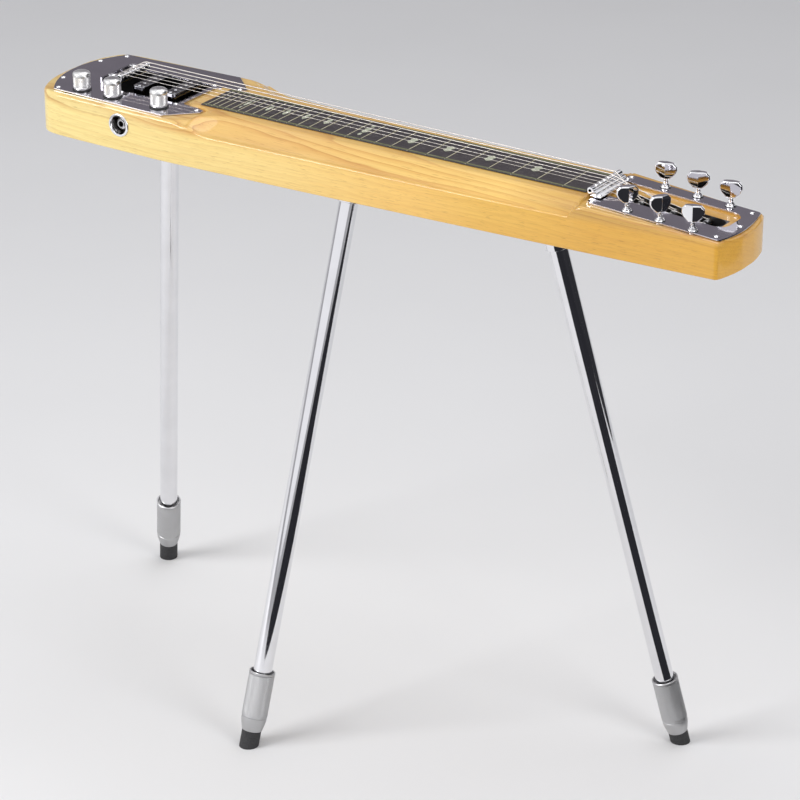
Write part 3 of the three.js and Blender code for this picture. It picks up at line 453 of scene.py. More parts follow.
cutters = [rod("can_well", 8.5, (k.x, k.y, WELL_FLOOR), (k.x, k.y, 3)) for k in knob_spots]
cutters.append(block("control_well", (-42, -66, WELL_FLOOR), (88, -38, 3.2)))
cutters.append(block("pickup_well", (-8, -31.7, BAY_FLOOR), (77, 31.7, 3.4)))
cutters.append(block("wire_way", (65, -52, BAY_FLOOR), (76.9, 0, 3.6)))
cutters.append(rod("jack_hole", 10.9, (jack_at.x, -82, jack_at.z), (jack_at.x, -38.2, jack_at.z), 64))
carve(wood, *cutters)
cutters = [sloped(long_hole("plate_ledge", 581.5, 711.3, -16.3, 26.5, 12, -3, 8))]
cutters.append(long_hole("roller_slot", 589, 703, -10, 10, 9.5, -33, 2.6))
for x in TUNERS:
    bed = head_top(x) - PLATE_SEAT
    for low, high in ((-43.4, -32.8), (32.8, 43.4)):
        cutters.append(block("tuner_well", (x - 17, low, bed - 25), (x + 7, high, 2.5)))
    axle = (x - GEAR_OFFSET, head_top(x) - 8)
    cutters.append(rod("roller_bore", 3.5, (axle[0], -35, axle[1]), (axle[0], 35, axle[1]), 32))
carve(wood, *cutters)
smooth_over(wood, 28)

ash, ash_tree, ash_shader = new_finish("lacquered_ash", (0.8, 0.5, 0.18), 0, 0.42)
ash_shader.inputs["Coat Weight"].default_value = 0.8
ash_shader.inputs["Coat Roughness"].default_value = 0.06
ash_shader.inputs["Coat IOR"].default_value = 1.5


def sum_of(tree, a, b, operation="ADD"):
    """Two numbers joined by a sum or another operation."""
    return first(tree, "Math", {0: a, 1: b}, operation=operation)


def blend_of(tree, share, a, b, mode="MIX"):
    """Two colours mixed by a share."""
    made = put(tree, "Mix", {0: share}, data_type="RGBA", blend_type=mode)
    for socket, value in ((made.inputs[6], a), (made.inputs[7], b)):
        if isinstance(value, bpy.types.NodeSocket):
            tree.links.new(value, socket)
        else:
            socket.default_value = (*value, 1)
    return made.outputs[2]


def dent(tree, shader, height, strength, distance):
    """Lets the height of a pattern dent a surface."""
    bump = first(tree, "Bump", {"Height": height, "Strength": strength, "Distance": distance})
    tree.links.new(bump, shader.inputs["Normal"])


def reach_of(tree, offset, plane):
    """How far a point lies from a line, from its offset and the line's cross plane."""
    across = first(tree, "VectorMath", {0: offset, 1: plane}, operation="MULTIPLY")
    return put(tree, "VectorMath", {0: across}, operation="LENGTH").outputs["Value"]


at = own_place(ash_tree)
# The tree's heart lies below the board and a little aslant, so the scoops cut arches out of its rings.
aslant = (0, math.radians(-2.1), math.radians(1.3))
heart = first(ash_tree, "Mapping", {"Vector": at, "Rotation": aslant, "Location": (0, 0.03, -0.53)})
slow = first(ash_tree, "Mapping", {"Vector": at, "Scale": (3.2, 16, 16)})
sway = noise(ash_tree, slow, 1, 3, 0.55)
distance = reach_of(ash_tree, heart, (0, 1, 1))
swayed = sum_of(ash_tree, distance, sum_of(ash_tree, sway, 0.02, "MULTIPLY"))
spread = first(ash_tree, "CombineXYZ", {"X": sum_of(ash_tree, distance, 60, "MULTIPLY")})
uneven = noise(ash_tree, spread, 1, 1)
even_count = sum_of(ash_tree, swayed, 190, "MULTIPLY")
ring_count = sum_of(ash_tree, even_count, sum_of(ash_tree, uneven, 4, "MULTIPLY"))
ring_share = first(ash_tree, "Math", {0: ring_count}, operation="FRACT")
ring_color = ramp(
    ash_tree,
    ring_share,
    (0.0, (0.92, 0.82, 0.335)),
    (0.5, (0.88, 0.735, 0.27)),
    (0.8, (0.77, 0.55, 0.16)),
    (0.93, (0.62, 0.375, 0.086)),
    (1.0, (0.90, 0.78, 0.30)),
)
calm_color = ramp(ash_tree, sway, (0.3, (0.93, 0.84, 0.355)), (0.7, (0.88, 0.735, 0.27)))
patch = noise(ash_tree, slow, 0.6, 2, 0.4)
ring_strength = scaled(ash_tree, patch, 0.3, 0.95, 0.35, 0.65)
# The sides are cut along the grain and stay calm, the scoops cut across the rings.
parts_of = put(ash_tree, "SeparateXYZ", {"Vector": at}).outputs
raised = scaled(ash_tree, parts_of["Z"], 0, 1, spot(0, 0, -20).z, spot(0, 0, -13).z)
scooped = sum_of(ash_tree, sum_of(ash_tree, raised, 0.75, "MULTIPLY"), 0.25)
wood_color = blend_of(ash_tree, sum_of(ash_tree, ring_strength, scooped, "MULTIPLY"), calm_color, ring_color)
thin = first(ash_tree, "Mapping", {"Vector": at, "Scale": (14, 700, 700)})
fibre = noise(ash_tree, thin, 1, 2)
fibre_tone = ramp(ash_tree, fibre, (0.3, (0.86, 0.82, 0.76)), (0.6, (1.0, 1.0, 1.0)))
wood_color = blend_of(ash_tree, 0.55, wood_color, fibre_tone, "MULTIPLY")
pore_place = first(ash_tree, "Mapping", {"Vector": at, "Scale": (60, 1400, 1400)})
pore = noise(ash_tree, pore_place, 1, 1)
pore_tone = ramp(ash_tree, pore, (0.28, (0.55, 0.42, 0.28)), (0.36, (1.0, 1.0, 1.0)))
wood_color = blend_of(ash_tree, 0.5, wood_color, pore_tone, "MULTIPLY")
# The board's colour is painted paler towards the tail, a painted highlight, and darker and more orange
# towards the head, painted shade. The top and the scoops get a darker ramp than the sides, painted shade for
# how the light falls on them.
headward = scaled(ash_tree, parts_of["X"], 0, 1, -0.4, 0.4)
side_painted_light = ramp(
    ash_tree,
    headward,
    (0.0, (1.0, 0.94, 0.92)),
    (0.23, (1.0, 0.89, 0.83)),
    (0.38, (1.0, 0.82, 0.68)),
    (0.59, (0.99, 0.70, 0.42)),
    (0.69, (0.90, 0.60, 0.24)),
    (0.85, (0.83, 0.51, 0.15)),
    (1.0, (0.84, 0.52, 0.15)),
)
top_painted_light = ramp(
    ash_tree,
    headward,
    (0.1, (0.92, 0.82, 0.80)),
    (0.2, (0.90, 0.72, 0.66)),
    (0.26, (0.86, 0.62, 0.42)),
    (0.39, (0.84, 0.60, 0.45)),
    (0.55, (0.88, 0.66, 0.44)),
    (0.71, (0.92, 0.68, 0.44)),
    (0.8, (0.70, 0.47, 0.24)),
    (1.0, (0.72, 0.46, 0.20)),
)
# Painted light: the sides take one ramp and the top and the scoops a darker one, painted shade.
painted_light_tint = blend_of(ash_tree, raised, side_painted_light, top_painted_light)
wood_color = blend_of(ash_tree, 1.0, wood_color, painted_light_tint, "MULTIPLY")


def in_box(tree, place, low, high):
    """One inside a box on the guitar and nought outside it."""
    a, b = spot(*low), spot(*high)
    offset = first(tree, "VectorMath", {0: place, 1: (a + b) / 2}, operation="SUBTRACT")
    share = first(tree, "VectorMath", {0: offset, 1: (b - a) / 2}, operation="DIVIDE")
    share = first(tree, "VectorMath", {0: share}, operation="ABSOLUTE")
    sides = put(tree, "SeparateXYZ", {"Vector": share}).outputs
    widest = sum_of(tree, sum_of(tree, sides["X"], sides["Y"], "MAXIMUM"), sides["Z"], "MAXIMUM")
    return sum_of(tree, widest, 1, "LESS_THAN")


# The roller slot is coloured near black inside, painted shade for its deep hollow, and the pickup well is
# coloured near black inside.
bay_dark_mask = in_box(ash_tree, at, (-9.4, -32.6, -40), (78, 32.6, -0.4))
slot_painted_shade = in_box(ash_tree, at, (588.5, -10.4, -40), (703.5, 10.4, -8.4))
dark_wells_and_shade = sum_of(ash_tree, bay_dark_mask, slot_painted_shade, "MAXIMUM")
wood_color = blend_of(ash_tree, dark_wells_and_shade, wood_color, (0.012, 0.011, 0.012))
ash_tree.links.new(wood_color, ash_shader.inputs["Base Color"])
dent(ash_tree, ash_shader, fibre, 0.25, 0.0002)
settle(wood, "guitar", "lacquered_wood", ash, "body")


# Plates: two sheets of steel, chromed and polished to a mirror, their chrome coloured darker and lilac as a
# painted reflection of a dark backdrop, their edges broken to a bright line.
# One covers the controls and runs round the pickups, the other lies on the head under the tuners.
def metal(name, color, low, high, mark_scale=900, mark_depth=0.00001):
    """A metal whose gloss wanders between two levels, with fine marks in it."""
    material, tree, shader = new_finish(name, color, 1, low)
    place = own_place(tree)
    cloud = noise(tree, place, 40, 5)
    gloss = scaled(tree, cloud, low, high, 0.35, 0.7)
    tree.links.new(gloss, shader.inputs["Roughness"])
    tint = ramp(tree, cloud, (0.3, color), (0.7, [c * 0.94 for c in color]))
    tree.links.new(tint, shader.inputs["Base Color"])
    dent(tree, shader, noise(tree, place, mark_scale, 2), 0.2, mark_depth)
    return material


def dress(node, name, width, segments=2, angle=35, smooth=40):
    """A copy of a frame node, its doubles merged and its sharp edges rounded."""
    piece = bpy.data.objects.new(name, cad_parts[node].data.copy())
    bpy.context.scene.collection.objects.link(piece)
    only(piece)
    bpy.ops.object.mode_set(mode="EDIT")
    bpy.ops.mesh.select_all(action="SELECT")
    bpy.ops.mesh.remove_doubles(threshold=2e-6)
    bpy.ops.mesh.dissolve_limited(angle_limit=math.radians(0.5))
    bpy.ops.object.mode_set(mode="OBJECT")
    if width:
        limit = math.radians(angle)
        work(piece, "BEVEL", width=width / 1000, segments=segments, limit_method="ANGLE", angle_limit=limit)
    smooth_over(piece, smooth)
    if width:
        work(piece, "WEIGHTED_NORMAL", keep_sharp=True)
    return piece


def clad(node, name, body, slot, material, *finish):
    """Puts a dressed copy of a frame node, in its real material, in the node's place."""
    settle(dress(node, name, *finish), body, slot, material, node)


# The plates' chrome is coloured darker and lilac, a painted reflection of a dark backdrop.
mirror_painted_dark = metal("mirror_sheet_painted_dark", (0.6, 0.58, 0.63), 0.05, 0.11, 500)
clad("control_plate", "control_sheet", "guitar", "mirror_plate", mirror_painted_dark, 0.3)
clad("tuner_plate", "tuner_sheet", "guitar", "mirror_plate", mirror_painted_dark, 0.25)


# Plate screws: small chromed screws with an oval head and a cross recess, driven down to the plates.
# They are turned on a lathe, the cross is pressed in, and every plate corner and tab has one.
def lathe(name, profile, sides=64, smooth=35):
    """Spins radii and heights in millimetres into a shape round the Z axis."""
    steps = [Vector((r, 0, z)) / 1000 for r, z in profile]
    bpy.ops.object.select_all(action="DESELECT")
    bpy.ops.mesh.primitive_plane_add(size=0.001, location=steps[0])
    made = bpy.context.object
    made.name = name
    bpy.ops.object.transform_apply()
    bpy.ops.object.mode_set(mode="EDIT")
    bpy.ops.mesh.select_mode(type="VERT")
    bpy.ops.mesh.select_all(action="SELECT")
    bpy.ops.mesh.merge(type="CENTER")
    for before, after in zip(steps, steps[1:]):
        bpy.ops.mesh.extrude_region_move(TRANSFORM_OT_translate={"value": after - before})
    bpy.ops.mesh.select_all(action="SELECT")
    bpy.ops.mesh.spin(steps=sides, angle=2 * math.pi, center=(0, 0, 0), axis=(0, 0, 1))
    bpy.ops.mesh.select_all(action="SELECT")
    bpy.ops.mesh.remove_doubles(threshold=2e-6)
    bpy.ops.mesh.normals_make_consistent(inside=False)
    bpy.ops.object.mode_set(mode="OBJECT")
    smooth_over(made, smooth)
    return made


def copy_of(piece, name, place, turn=None):
    """A copy of a piece with its own mesh, put at its place."""
    made = bpy.data.objects.new(name, piece.data.copy())
    made.data.transform(Matrix.Translation(place) @ (turn or Matrix.Identity(4)))
    bpy.context.scene.collection.objects.link(made)
    return made


def joined(name, pieces):
    """Joins pieces into one."""
    only(pieces[0])
    for piece in pieces:
        piece.select_set(True)
    bpy.ops.object.join()
    pieces[0].name = name
    return pieces[0]


def turned(axis, degrees):
    """A turn round an axis."""
    return Matrix.Rotation(math.radians(degrees), 4, axis)


def loose_block(name, low, high):
    """A box round the origin, for a piece that isn't at its place yet."""
    made = block(name, low, high)
    made.data.transform(Matrix.Translation(-bridge_line))
    return made


CHROME = (0.86, 0.86, 0.88)
chrome = metal("polished_chrome", CHROME, 0.03, 0.07, 1200)
screw_profile = [(0, 1.25), (0.9, 1.15), (1.7, 0.85), (2.35, 0.35), (2.5, 0.05), (2.5, -0.6), (0, -0.6)]
screw = lathe("screw", screw_profile, 32)
cross = loose_block("cross_a", (-1.4, -0.28, 0.5), (1.4, 0.28, 2.5))
cross_too = loose_block("cross_b", (-0.28, -1.4, 0.5), (0.28, 1.4, 2.6))
carve(screw, cross, cross_too)
smooth_over(screw, 35)
plate_top = -3.2
screws = []
# Each screw has its place along the guitar, its distance from the centreline and the turn of its cross.
for x, y, turn in ((-68.7, 32, 12), (-54, 59, 70), (11.3, 36, 33), (80.5, 34.5, 51), (110, 38.3, 5)):
    for side in (-1, 1):
        screws.append(copy_of(screw, "plate_screw", spot(x, side * y, plate_top), turned("Z", turn * side)))
tilt = Matrix.Rotation(math.atan(HEAD_SLOPE), 4, "Y")
for x, y, turn in ((579.5, 38.5, 20), (713.5, 36, 64), (720, 0, 41)):
    for side in (-1, 1) if y else (1,):
        spin = tilt @ turned("Z", turn * side)
        screws.append(copy_of(screw, "plate_screw", spot(x, side * y, head_top(x)), spin))
plate_screws = joined("plate_screws", screws)
settle(plate_screws, "guitar", "chrome", chrome)


# Fretboard: a thin black board with pale painted fret lines, a tinted line along each edge, and
# lozenge markers under the strings. There are no raised frets: the bar slides on the strings.
def board_paint(name, color, dim):
    """A satin paint that is a little worn in patches."""
    material, tree, shader = new_finish(name, color, 0, 0.38)
    worn = noise(tree, own_place(tree), 130, 4)
    tint = ramp(tree, worn, (0.35, color), (0.75, [c * dim for c in color]))
    tree.links.new(tint, shader.inputs["Base Color"])
    tree.links.new(scaled(tree, worn, 0.22, 0.45), shader.inputs["Roughness"])
    dent(tree, shader, worn, 0.15, 0.00005)
    return material


board_black = board_paint("black_board", (0.02, 0.016, 0.019), 1.7)
clad("fretboard", "black_board", "guitar", "board_black", board_black, 0.3)


def inlay(name, low, high):
    """A flat strip on the board with softened edges."""
    made = block(name, (*low, -0.02), (*high, 0.12))
    work(made, "BEVEL", width=0.00006, segments=1)
    return made


def fret_at(number):
    """Where a fret line lies, by the equal-tempered rule."""
    return NUT * 2 ** (-number / 12)


FRETS, LINE_HALF, LINE_REACH = 28, 0.45, 26.6
lines = []
for x in [fret_at(number + 1) for number in range(FRETS)]:
    lines.append(inlay("fret", (x - LINE_HALF, -LINE_REACH), (x + LINE_HALF, LINE_REACH)))
fret_lines = joined("fret_lines", lines)
cream = board_paint("cream_line", (0.66, 0.62, 0.42), 0.8)
settle(fret_lines, "guitar", "board_black", cream)
EDGE_START, EDGE_END, EDGE_AT, EDGE_HALF = 108.5, 565, 24.4, 1.3
edges = []
for y in (-EDGE_AT, EDGE_AT):
    edges.append(inlay("edge", (EDGE_START, y - EDGE_HALF), (EDGE_END, y + EDGE_HALF)))
board_edges = joined("board_edges", edges)
settle(board_edges, "guitar", "board_black", board_paint("green_line", (0.17, 0.18, 0.085), 0.7))


def lozenge(x, length, width):
    """A flat marker, pointed across the board and waisted where its halves meet."""
    made = block("marker", (x - length / 2, -width / 2, -0.01), (x + length / 2, width / 2, 0.14))
    only(made)
    bpy.ops.object.mode_set(mode="EDIT")
    middle = spot(x, 0)
    for share in (-0.25, 0, 0.25):
        bpy.ops.mesh.select_all(action="SELECT")
        bpy.ops.mesh.bisect(plane_co=middle + Vector((0, share * width / 1000, 0)), plane_no=(0, 1, 0))
    bpy.ops.object.mode_set(mode="OBJECT")
    for vertex in made.data.vertices:
        share = abs(vertex.co.y - middle.y) * 2000 / width
        keep = 0.62 if share < 0.1 else 1.0 if share < 0.6 else 0.2
        vertex.co.x = middle.x + (vertex.co.x - middle.x) * keep
    return made


markers = []
for low, high in ((2, 3), (4, 5), (6, 7), (8, 9), (11, 12), (14, 15), (16, 17), (18, 19), (20, 21), (23, 24)):
    x = (fret_at(low) + fret_at(high)) / 2
    length = min(9.5, (fret_at(low) - fret_at(high)) * 0.42)
    markers.append(lozenge(x, length, 15))
    if low in (11, 23):
        for side in (-1, 1):
            small = lozenge(x, length * 0.6, 6)
            small.data.transform(Matrix.Translation((0, side * 0.0125, 0)))
            markers.append(small)
position_markers = joined("position_markers", markers)
settle(position_markers, "guitar", "board_black", board_paint("pale_marker", (0.52, 0.55, 0.42), 0.75))


# Pickups: two bars with polished chrome covers, coloured near black as a painted reflection of dark
# surroundings, standing side by side in the well between the plate's strips.
# Each has a row of slotted pole screws along its middle, one under each string.
# The covers' chrome is coloured near black, a painted reflection of dark surroundings.
cover_painted_dark = metal("chrome_cover_painted_dark", (0.2, 0.2, 0.215), 0.06, 0.12, 700)
STRINGS_AT_BRIDGE, STRINGS_AT_NUT = 22.7, 20
STRING_PLACES = [between(-STRINGS_AT_BRIDGE, STRINGS_AT_BRIDGE, i / 5) for i in range(6)]
pole = lathe("pole", [(0, 0.35), (1.5, 0.35), (1.8, 0.15), (1.8, -0.6), (0, -0.6)], 24)
carve(pole, loose_block("slit", (-2.2, -0.25, 0.05), (2.2, 0.25, 1.5)))
for number in "12":
    clad("pickup_" + number, "pickup_cover_" + number, "guitar", "pickup_black", cover_painted_dark, 0.5, 3)
    low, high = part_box("pickup_" + number)
    middle = ((low + high) / 2 - bridge_line) * 1000
    top = (high.z - bridge_line.z) * 1000
    narrowing = between(1, STRINGS_AT_NUT / STRINGS_AT_BRIDGE, middle.x / NUT)
    poles = []
    for i, y in enumerate(STRING_PLACES):
        place = spot(middle.x, y * narrowing, top)
        poles.append(copy_of(pole, "pole", place, turned("Z", 23 * i + 40)))
    settle(joined("pole_screws_" + number, poles), "guitar", "chrome", chrome)
bpy.data.objects.remove(pole)


# Bridge: a dull chromed angle on the plate, its chrome coloured darker as a painted reflection of dark
# surroundings, with a round-topped bar for the strings, and two thumb wheels on posts that set its height.
# Six grooved saddle rings sit on the bar, one for each string.
# The angle's chrome is coloured darker, a painted reflection of dark surroundings.
bridge_chrome_painted_dark = metal("bridge_chrome_painted_dark", (0.42, 0.41, 0.44), 0.1, 0.2, 900)
clad("bridge_base", "bridge_angle", "guitar", "chrome", bridge_chrome_painted_dark, 0.4, 2, 40, 42)
clad("saddle_bar", "saddle_rail", "guitar", "chrome", chrome, 0.3, 2, 40, 42)
wheel_profile = [(0, 7.2), (1.6, 7.2), (1.9, 6.9), (3.6, 6.9), (4.2, 6.4), (4.2, 4.2), (3.6, 3.7)]
wheel_profile += [(2.4, 3.7), (2.4, -0.9), (0, -0.9)]
wheel = lathe("wheel", wheel_profile, 40)
wheels = [copy_of(wheel, "wheel", spot(-14, y, 0)) for y in (-18, 18)]
bpy.data.objects.remove(wheel)
settle(joined("height_wheels", wheels), "guitar", "chrome", chrome)
saddle_profile = [(3.3, -2.6), (3.75, -2.3), (3.75, -0.8), (3.42, -0.35), (3.42, 0.35), (3.75, 0.8)]
saddle_profile += [(3.75, 2.3), (3.3, 2.6), (3.3, -2.6)]
saddle = lathe("saddle", saddle_profile, 40)
saddles = [copy_of(saddle, "saddle", spot(0, y, 6.35), turned("X", 90)) for y in STRING_PLACES]
bpy.data.objects.remove(saddle)
settle(joined("saddle_rings", saddles), "guitar", "chrome", chrome)


# Nut: a chromed tube with six shallow grooves, welded along the top of an angle bracket. A sloping cover
# with two long flutes runs down from it, and the bracket's foot is screwed down on the head plate.
NUT_RADIUS = 3.4
bar_z = (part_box("nut_bracket")[1].z - bridge_line.z) * 1000 - NUT_RADIUS
profile = [(1.7, -29), (3.0, -29), (NUT_RADIUS, -28.6)]
for i in range(6):
    y = between(-STRINGS_AT_NUT, STRINGS_AT_NUT, i / 5)
    profile += [(NUT_RADIUS, y - 0.9), (3.05, y), (NUT_RADIUS, y + 0.9)]
profile += [(NUT_RADIUS, 28.6), (3.0, 29), (1.7, 29), (1.7, -29)]
nut_tube = lathe("nut_tube", profile, 48)
nut_tube.data.transform(Matrix.Translation(spot(NUT, 0, bar_z)) @ turned("X", -90))


def keep_below(piece, point, upward):
    """Cuts off what stands above a plane and closes the cut."""
    only(piece)
    bpy.ops.object.mode_set(mode="EDIT")
    bpy.ops.mesh.select_all(action="SELECT")
    bpy.ops.mesh.bisect(plane_co=point, plane_no=upward, clear_outer=True, use_fill=True)
    bpy.ops.object.mode_set(mode="OBJECT")


foot_z = head_top(NUT + 1.4) + 0.3
wall = block("wall", (NUT + 0.5, -27, foot_z), (NUT + 2.3, 27, bar_z - 1.4))
work(wall, "BEVEL", width=0.0004, segments=2)
SLOPE_START, SLOPE_END, FOOT_THICK = 2.4, 11.6, 1.4
slope_top = bar_z + 1.8
slope = block("slope", (NUT + 1.2, -28, foot_z), (NUT + SLOPE_END, 28, slope_top))
lean = Vector((slope_top - foot_z - 1.2, 0, SLOPE_END - SLOPE_START)).normalized()
keep_below(slope, spot(NUT + SLOPE_START, 0, slope_top), lean)
for share in (0.28, 0.66):
    x = NUT + between(SLOPE_START, SLOPE_END, share)
    z = between(slope_top, foot_z + 1.2, share)
    carve(slope, rod("flute", 1.1, (x, -30, z + 0.5), (x, 30, z + 0.5), 24))
work(slope, "BEVEL", width=0.0003, segments=2, limit_method="ANGLE", angle_limit=math.radians(40))
foot = block("foot", (NUT + 1.4, -31, foot_z), (NUT + 13.4, 31, foot_z + FOOT_THICK))
work(foot, "BEVEL", width=0.0005, segments=2)
nut_piece = joined("nut", [nut_tube, wall, slope, foot])
smooth_over(nut_piece, 35)
settle(nut_piece, "guitar", "chrome", chrome, "nut_bracket")
nut_screws = []
for side in (-1, 1):
    place = spot(NUT + 9.5, side * 27, foot_z + FOOT_THICK)
    nut_screws.append(copy_of(screw, "nut_screw", place, turned("Z", 37 * side)))
settle(joined("nut_screws", nut_screws), "guitar", "chrome", chrome)


# Jack: a turned, chromed cup let into the front edge. The socket's threaded bush comes through its
# floor and is held by a hexagon nut. The socket itself is plain steel.
cup_profile = [(10.3, -1.6), (11.6, -1.5), (12.3, -1.1), (12.5, -0.7), (12.5, -0.3), (10.6, -0.3), (10.6, 9)]
cup_profile += [(4.9, 9), (4.9, 7.5), (7.3, 7.5), (8.2, 5.5), (9.2, 1.5), (9.9, -1.2), (10.3, -1.6)]
cup = lathe("jack_dish", cup_profile, 72)
into_side = Matrix.Translation(spot(jack_at.x, -side_at(jack_at.x), jack_at.z)) @ turned("X", -90)
cup.data.transform(into_side)
# The bowl is duller than its polished rim, and its colour is painted dark: painted shade and a painted
# reflection of dark surroundings.
dish_finish, dish_tree, dish_shader = new_finish("dish_chrome", CHROME, 1, 0.08)
dish_at = own_place(dish_tree)
jack_axis = spot(jack_at.x, 0, jack_at.z)
from_axis = first(dish_tree, "VectorMath", {0: dish_at, 1: jack_axis}, operation="SUBTRACT")
rim = scaled(dish_tree, reach_of(dish_tree, from_axis, (1, 0, 1)), 0, 1, 0.0088, 0.0102)
bowl_shade_cloud = noise(dish_tree, dish_at, 300, 3)
bowl_painted_shade = ramp(dish_tree, bowl_shade_cloud, (0.3, (0.13, 0.12, 0.12)), (0.7, (0.2, 0.19, 0.19)))
dish_tree.links.new(blend_of(dish_tree, rim, bowl_painted_shade, CHROME), dish_shader.inputs["Base Color"])
dish_tree.links.new(scaled(dish_tree, rim, 0.2, 0.06), dish_shader.inputs["Roughness"])
settle(cup, "guitar", "chrome", dish_finish, "jack_cup")
steel = metal("plain_steel", (0.56, 0.56, 0.57), 0.22, 0.38, 600, 0.00003)
bpy.ops.object.select_all(action="DESELECT")
bpy.ops.mesh.primitive_cylinder_add(vertices=6, radius=0.0062, depth=0.0022)
hexagon = bpy.context.object
hexagon.data.transform(Matrix.Translation((0, 0, 0.0061)))
work(hexagon, "BEVEL", width=0.0003, segments=2)
BORE = 3.3
bush = lathe("bush", [(BORE, 3.5), (4.3, 3.5), (4.6, 3.8), (4.6, 13), (BORE, 13), (BORE, 3.5)], 48)
bore = lathe("bore", [(0, -8), (BORE, -8), (BORE, 40), (0, 40)], 48)
frame_block = loose_block("frame_block", (-7, -7, 9.3), (7, 7, 31.3))
work(frame_block, "BEVEL", width=0.0006, segments=2)
for part in (hexagon, frame_block):
    work(part, "BOOLEAN", object=bore, operation="DIFFERENCE", solver="EXACT")
bpy.data.objects.remove(bore)
socket = joined("jack_frame", [bush, hexagon, frame_block])
socket.data.transform(into_side)
smooth_over(socket, 35)
settle(socket, "guitar", "steel", steel, "jack_socket")


# Knobs: turned aluminium with a domed top, a plain band and a diamond knurl below it, each on its
# potentiometer's shaft, over a thin washer coloured near black, partly a washer and partly painted shade for
# the dark gap under the knob, which shows as a ring on the plate.
def knurl(piece, low, pitch, sides, radius, height):
    """Presses every second point of a turned band inwards, which leaves diamonds."""
    pick_none(piece, "VERT")
    for vertex in piece.data.vertices:
        row = (vertex.co.z * 1000 - low) / pitch
        reach = math.hypot(vertex.co.x, vertex.co.y) * 1000
        if abs(reach - radius) < 0.02 and abs(row - round(row)) < 0.02:
            column = round(math.atan2(vertex.co.y, vertex.co.x) / (2 * math.pi / sides))
            vertex.select = (column + round(row)) % 2 == 0
    bpy.ops.object.mode_set(mode="EDIT")
    bpy.ops.transform.shrink_fatten(value=-height / 1000)
    bpy.ops.object.mode_set(mode="OBJECT")
    cuts = {vertex.index for vertex in piece.data.vertices if vertex.select}
    # Every square is split between its two pressed corners, which makes the diamonds' four slopes.
    for first_corner, method in ((0, "FIXED"), (1, "FIXED_ALTERNATE")):
        pick_none(piece, "FACE")
        for face in piece.data.polygons:
            face.select = len(face.vertices) == 4 and face.vertices[first_corner] in cuts
        bpy.ops.object.mode_set(mode="EDIT")
        bpy.ops.mesh.quads_convert_to_tris(quad_method=method)
        bpy.ops.object.mode_set(mode="OBJECT")


satin = metal("satin_aluminium", (0.78, 0.78, 0.775), 0.24, 0.38, 1500, 0.00002)
washer_black_and_shade, washer_tree, washer_shader = new_finish("washer_black_and_shade", (0.02, 0.02, 0.022), 0, 0.5)
dent(washer_tree, washer_shader, noise(washer_tree, own_place(washer_tree), 900, 3), 0.4, 0.0001)
KNURL_SIDES, KNURL_RADIUS, KNURL_LOW, KNURL_PITCH = 64, 9.15, 3.9, 0.98
profile = [(0, 16.2), (3.3, 16.2), (3.3, 5.2), (7.6, 5.2), (7.6, 1.2), (8.5, 1.2), (8.8, 1.5), (9.2, 3.5)]
profile += [(KNURL_RADIUS, KNURL_LOW + KNURL_PITCH * i) for i in range(12)]
profile += [(9.2, 15.0), (9.4, 15.2), (9.4, 16.6), (9.25, 17.6), (8.75, 18.7), (7.8, 19.6), (6.3, 20.3)]
profile += [(4.2, 20.7), (2, 20.8), (0, 20.8)]
knob = lathe("knob", profile, KNURL_SIDES, 30)
knurl(knob, KNURL_LOW, KNURL_PITCH, KNURL_SIDES, KNURL_RADIUS, 0.35)
smooth_over(knob, 20)
profile = [(4.8, 0.05), (9.9, 0.05), (10.1, 0.25), (10.1, 0.75), (9.9, 0.95), (4.8, 0.95), (4.8, 0.05)]
washer = lathe("washer", profile, 64)
for number, at_knob in zip("123", knob_spots):
    place = spot(at_knob.x, at_knob.y, plate_top)
    cap = copy_of(knob, "knob_cap_" + number, place)
    settle(cap, "knob_" + number, "knurled_metal", satin, "knob_" + number)
    # Each knob's washer is coloured near black: a washer, and painted shade for the gap under the knob.
    settle(copy_of(washer, "knob_washer_and_shadow_" + number, place), "guitar", "rubber", washer_black_and_shade)
bpy.data.objects.remove(knob)
bpy.data.objects.remove(washer)
brass = metal("turned_brass", (0.62, 0.46, 0.2), 0.2, 0.35, 900, 0.00002)
for number in "123":
    node, piece = "potentiometer_" + number, "potentiometer_turned_" + number
    clad(node, piece, "guitar", "steel", steel, 0.2, 1, 50, 50)
    node, piece = "pot_shaft_" + number, "pot_shaft_turned_" + number
    clad(node, piece, "knob_" + number, "brass", brass, 0.2, 1, 50, 50)


# Tuners: six open machines under the head plate. A chromed button turns an upright worm, and the worm
# turns a gear on a steel roller that winds the string. A bush through the plate guides each shaft.
BUTTON_HALF, BUTTON_TALL = 11.25, 16.5
right_half = [(0.4, 0), (0.84, 0.28), (1, 0.52), (0.97, 0.78), (0.7, 0.98), (0.45, 1)]
button_outline = [(-0.4, 0)] + right_half + [(-wide, high) for wide, high in right_half[:0:-1]]
bpy.ops.object.select_all(action="DESELECT")
bpy.ops.mesh.primitive_circle_add(vertices=12, fill_type="NGON", radius=0.01)
grip = bpy.context.object
grip.name = "grip"
for vertex, (wide, high) in zip(grip.data.vertices, button_outline):
    vertex.co = Vector((wide * BUTTON_HALF, -1, high * BUTTON_TALL)) / 1000
only(grip)
bpy.ops.object.mode_set(mode="EDIT")
bpy.ops.mesh.select_mode(type="FACE")
bpy.ops.mesh.select_all(action="SELECT")
bpy.ops.mesh.extrude_region_move(TRANSFORM_OT_translate={"value": (0, 0.002, 0)})
bpy.ops.mesh.select_all(action="SELECT")
bpy.ops.mesh.normals_make_consistent(inside=False)
bpy.ops.mesh.select_all(action="DESELECT")
bpy.ops.object.mode_set(mode="OBJECT")
for face in grip.data.polygons:
    face.select = abs(face.normal.y) > 0.9
bpy.ops.object.mode_set(mode="EDIT")
bpy.ops.mesh.inset(thickness=0.0009, depth=0.0001)
bpy.ops.mesh.select_all(action="SELECT")
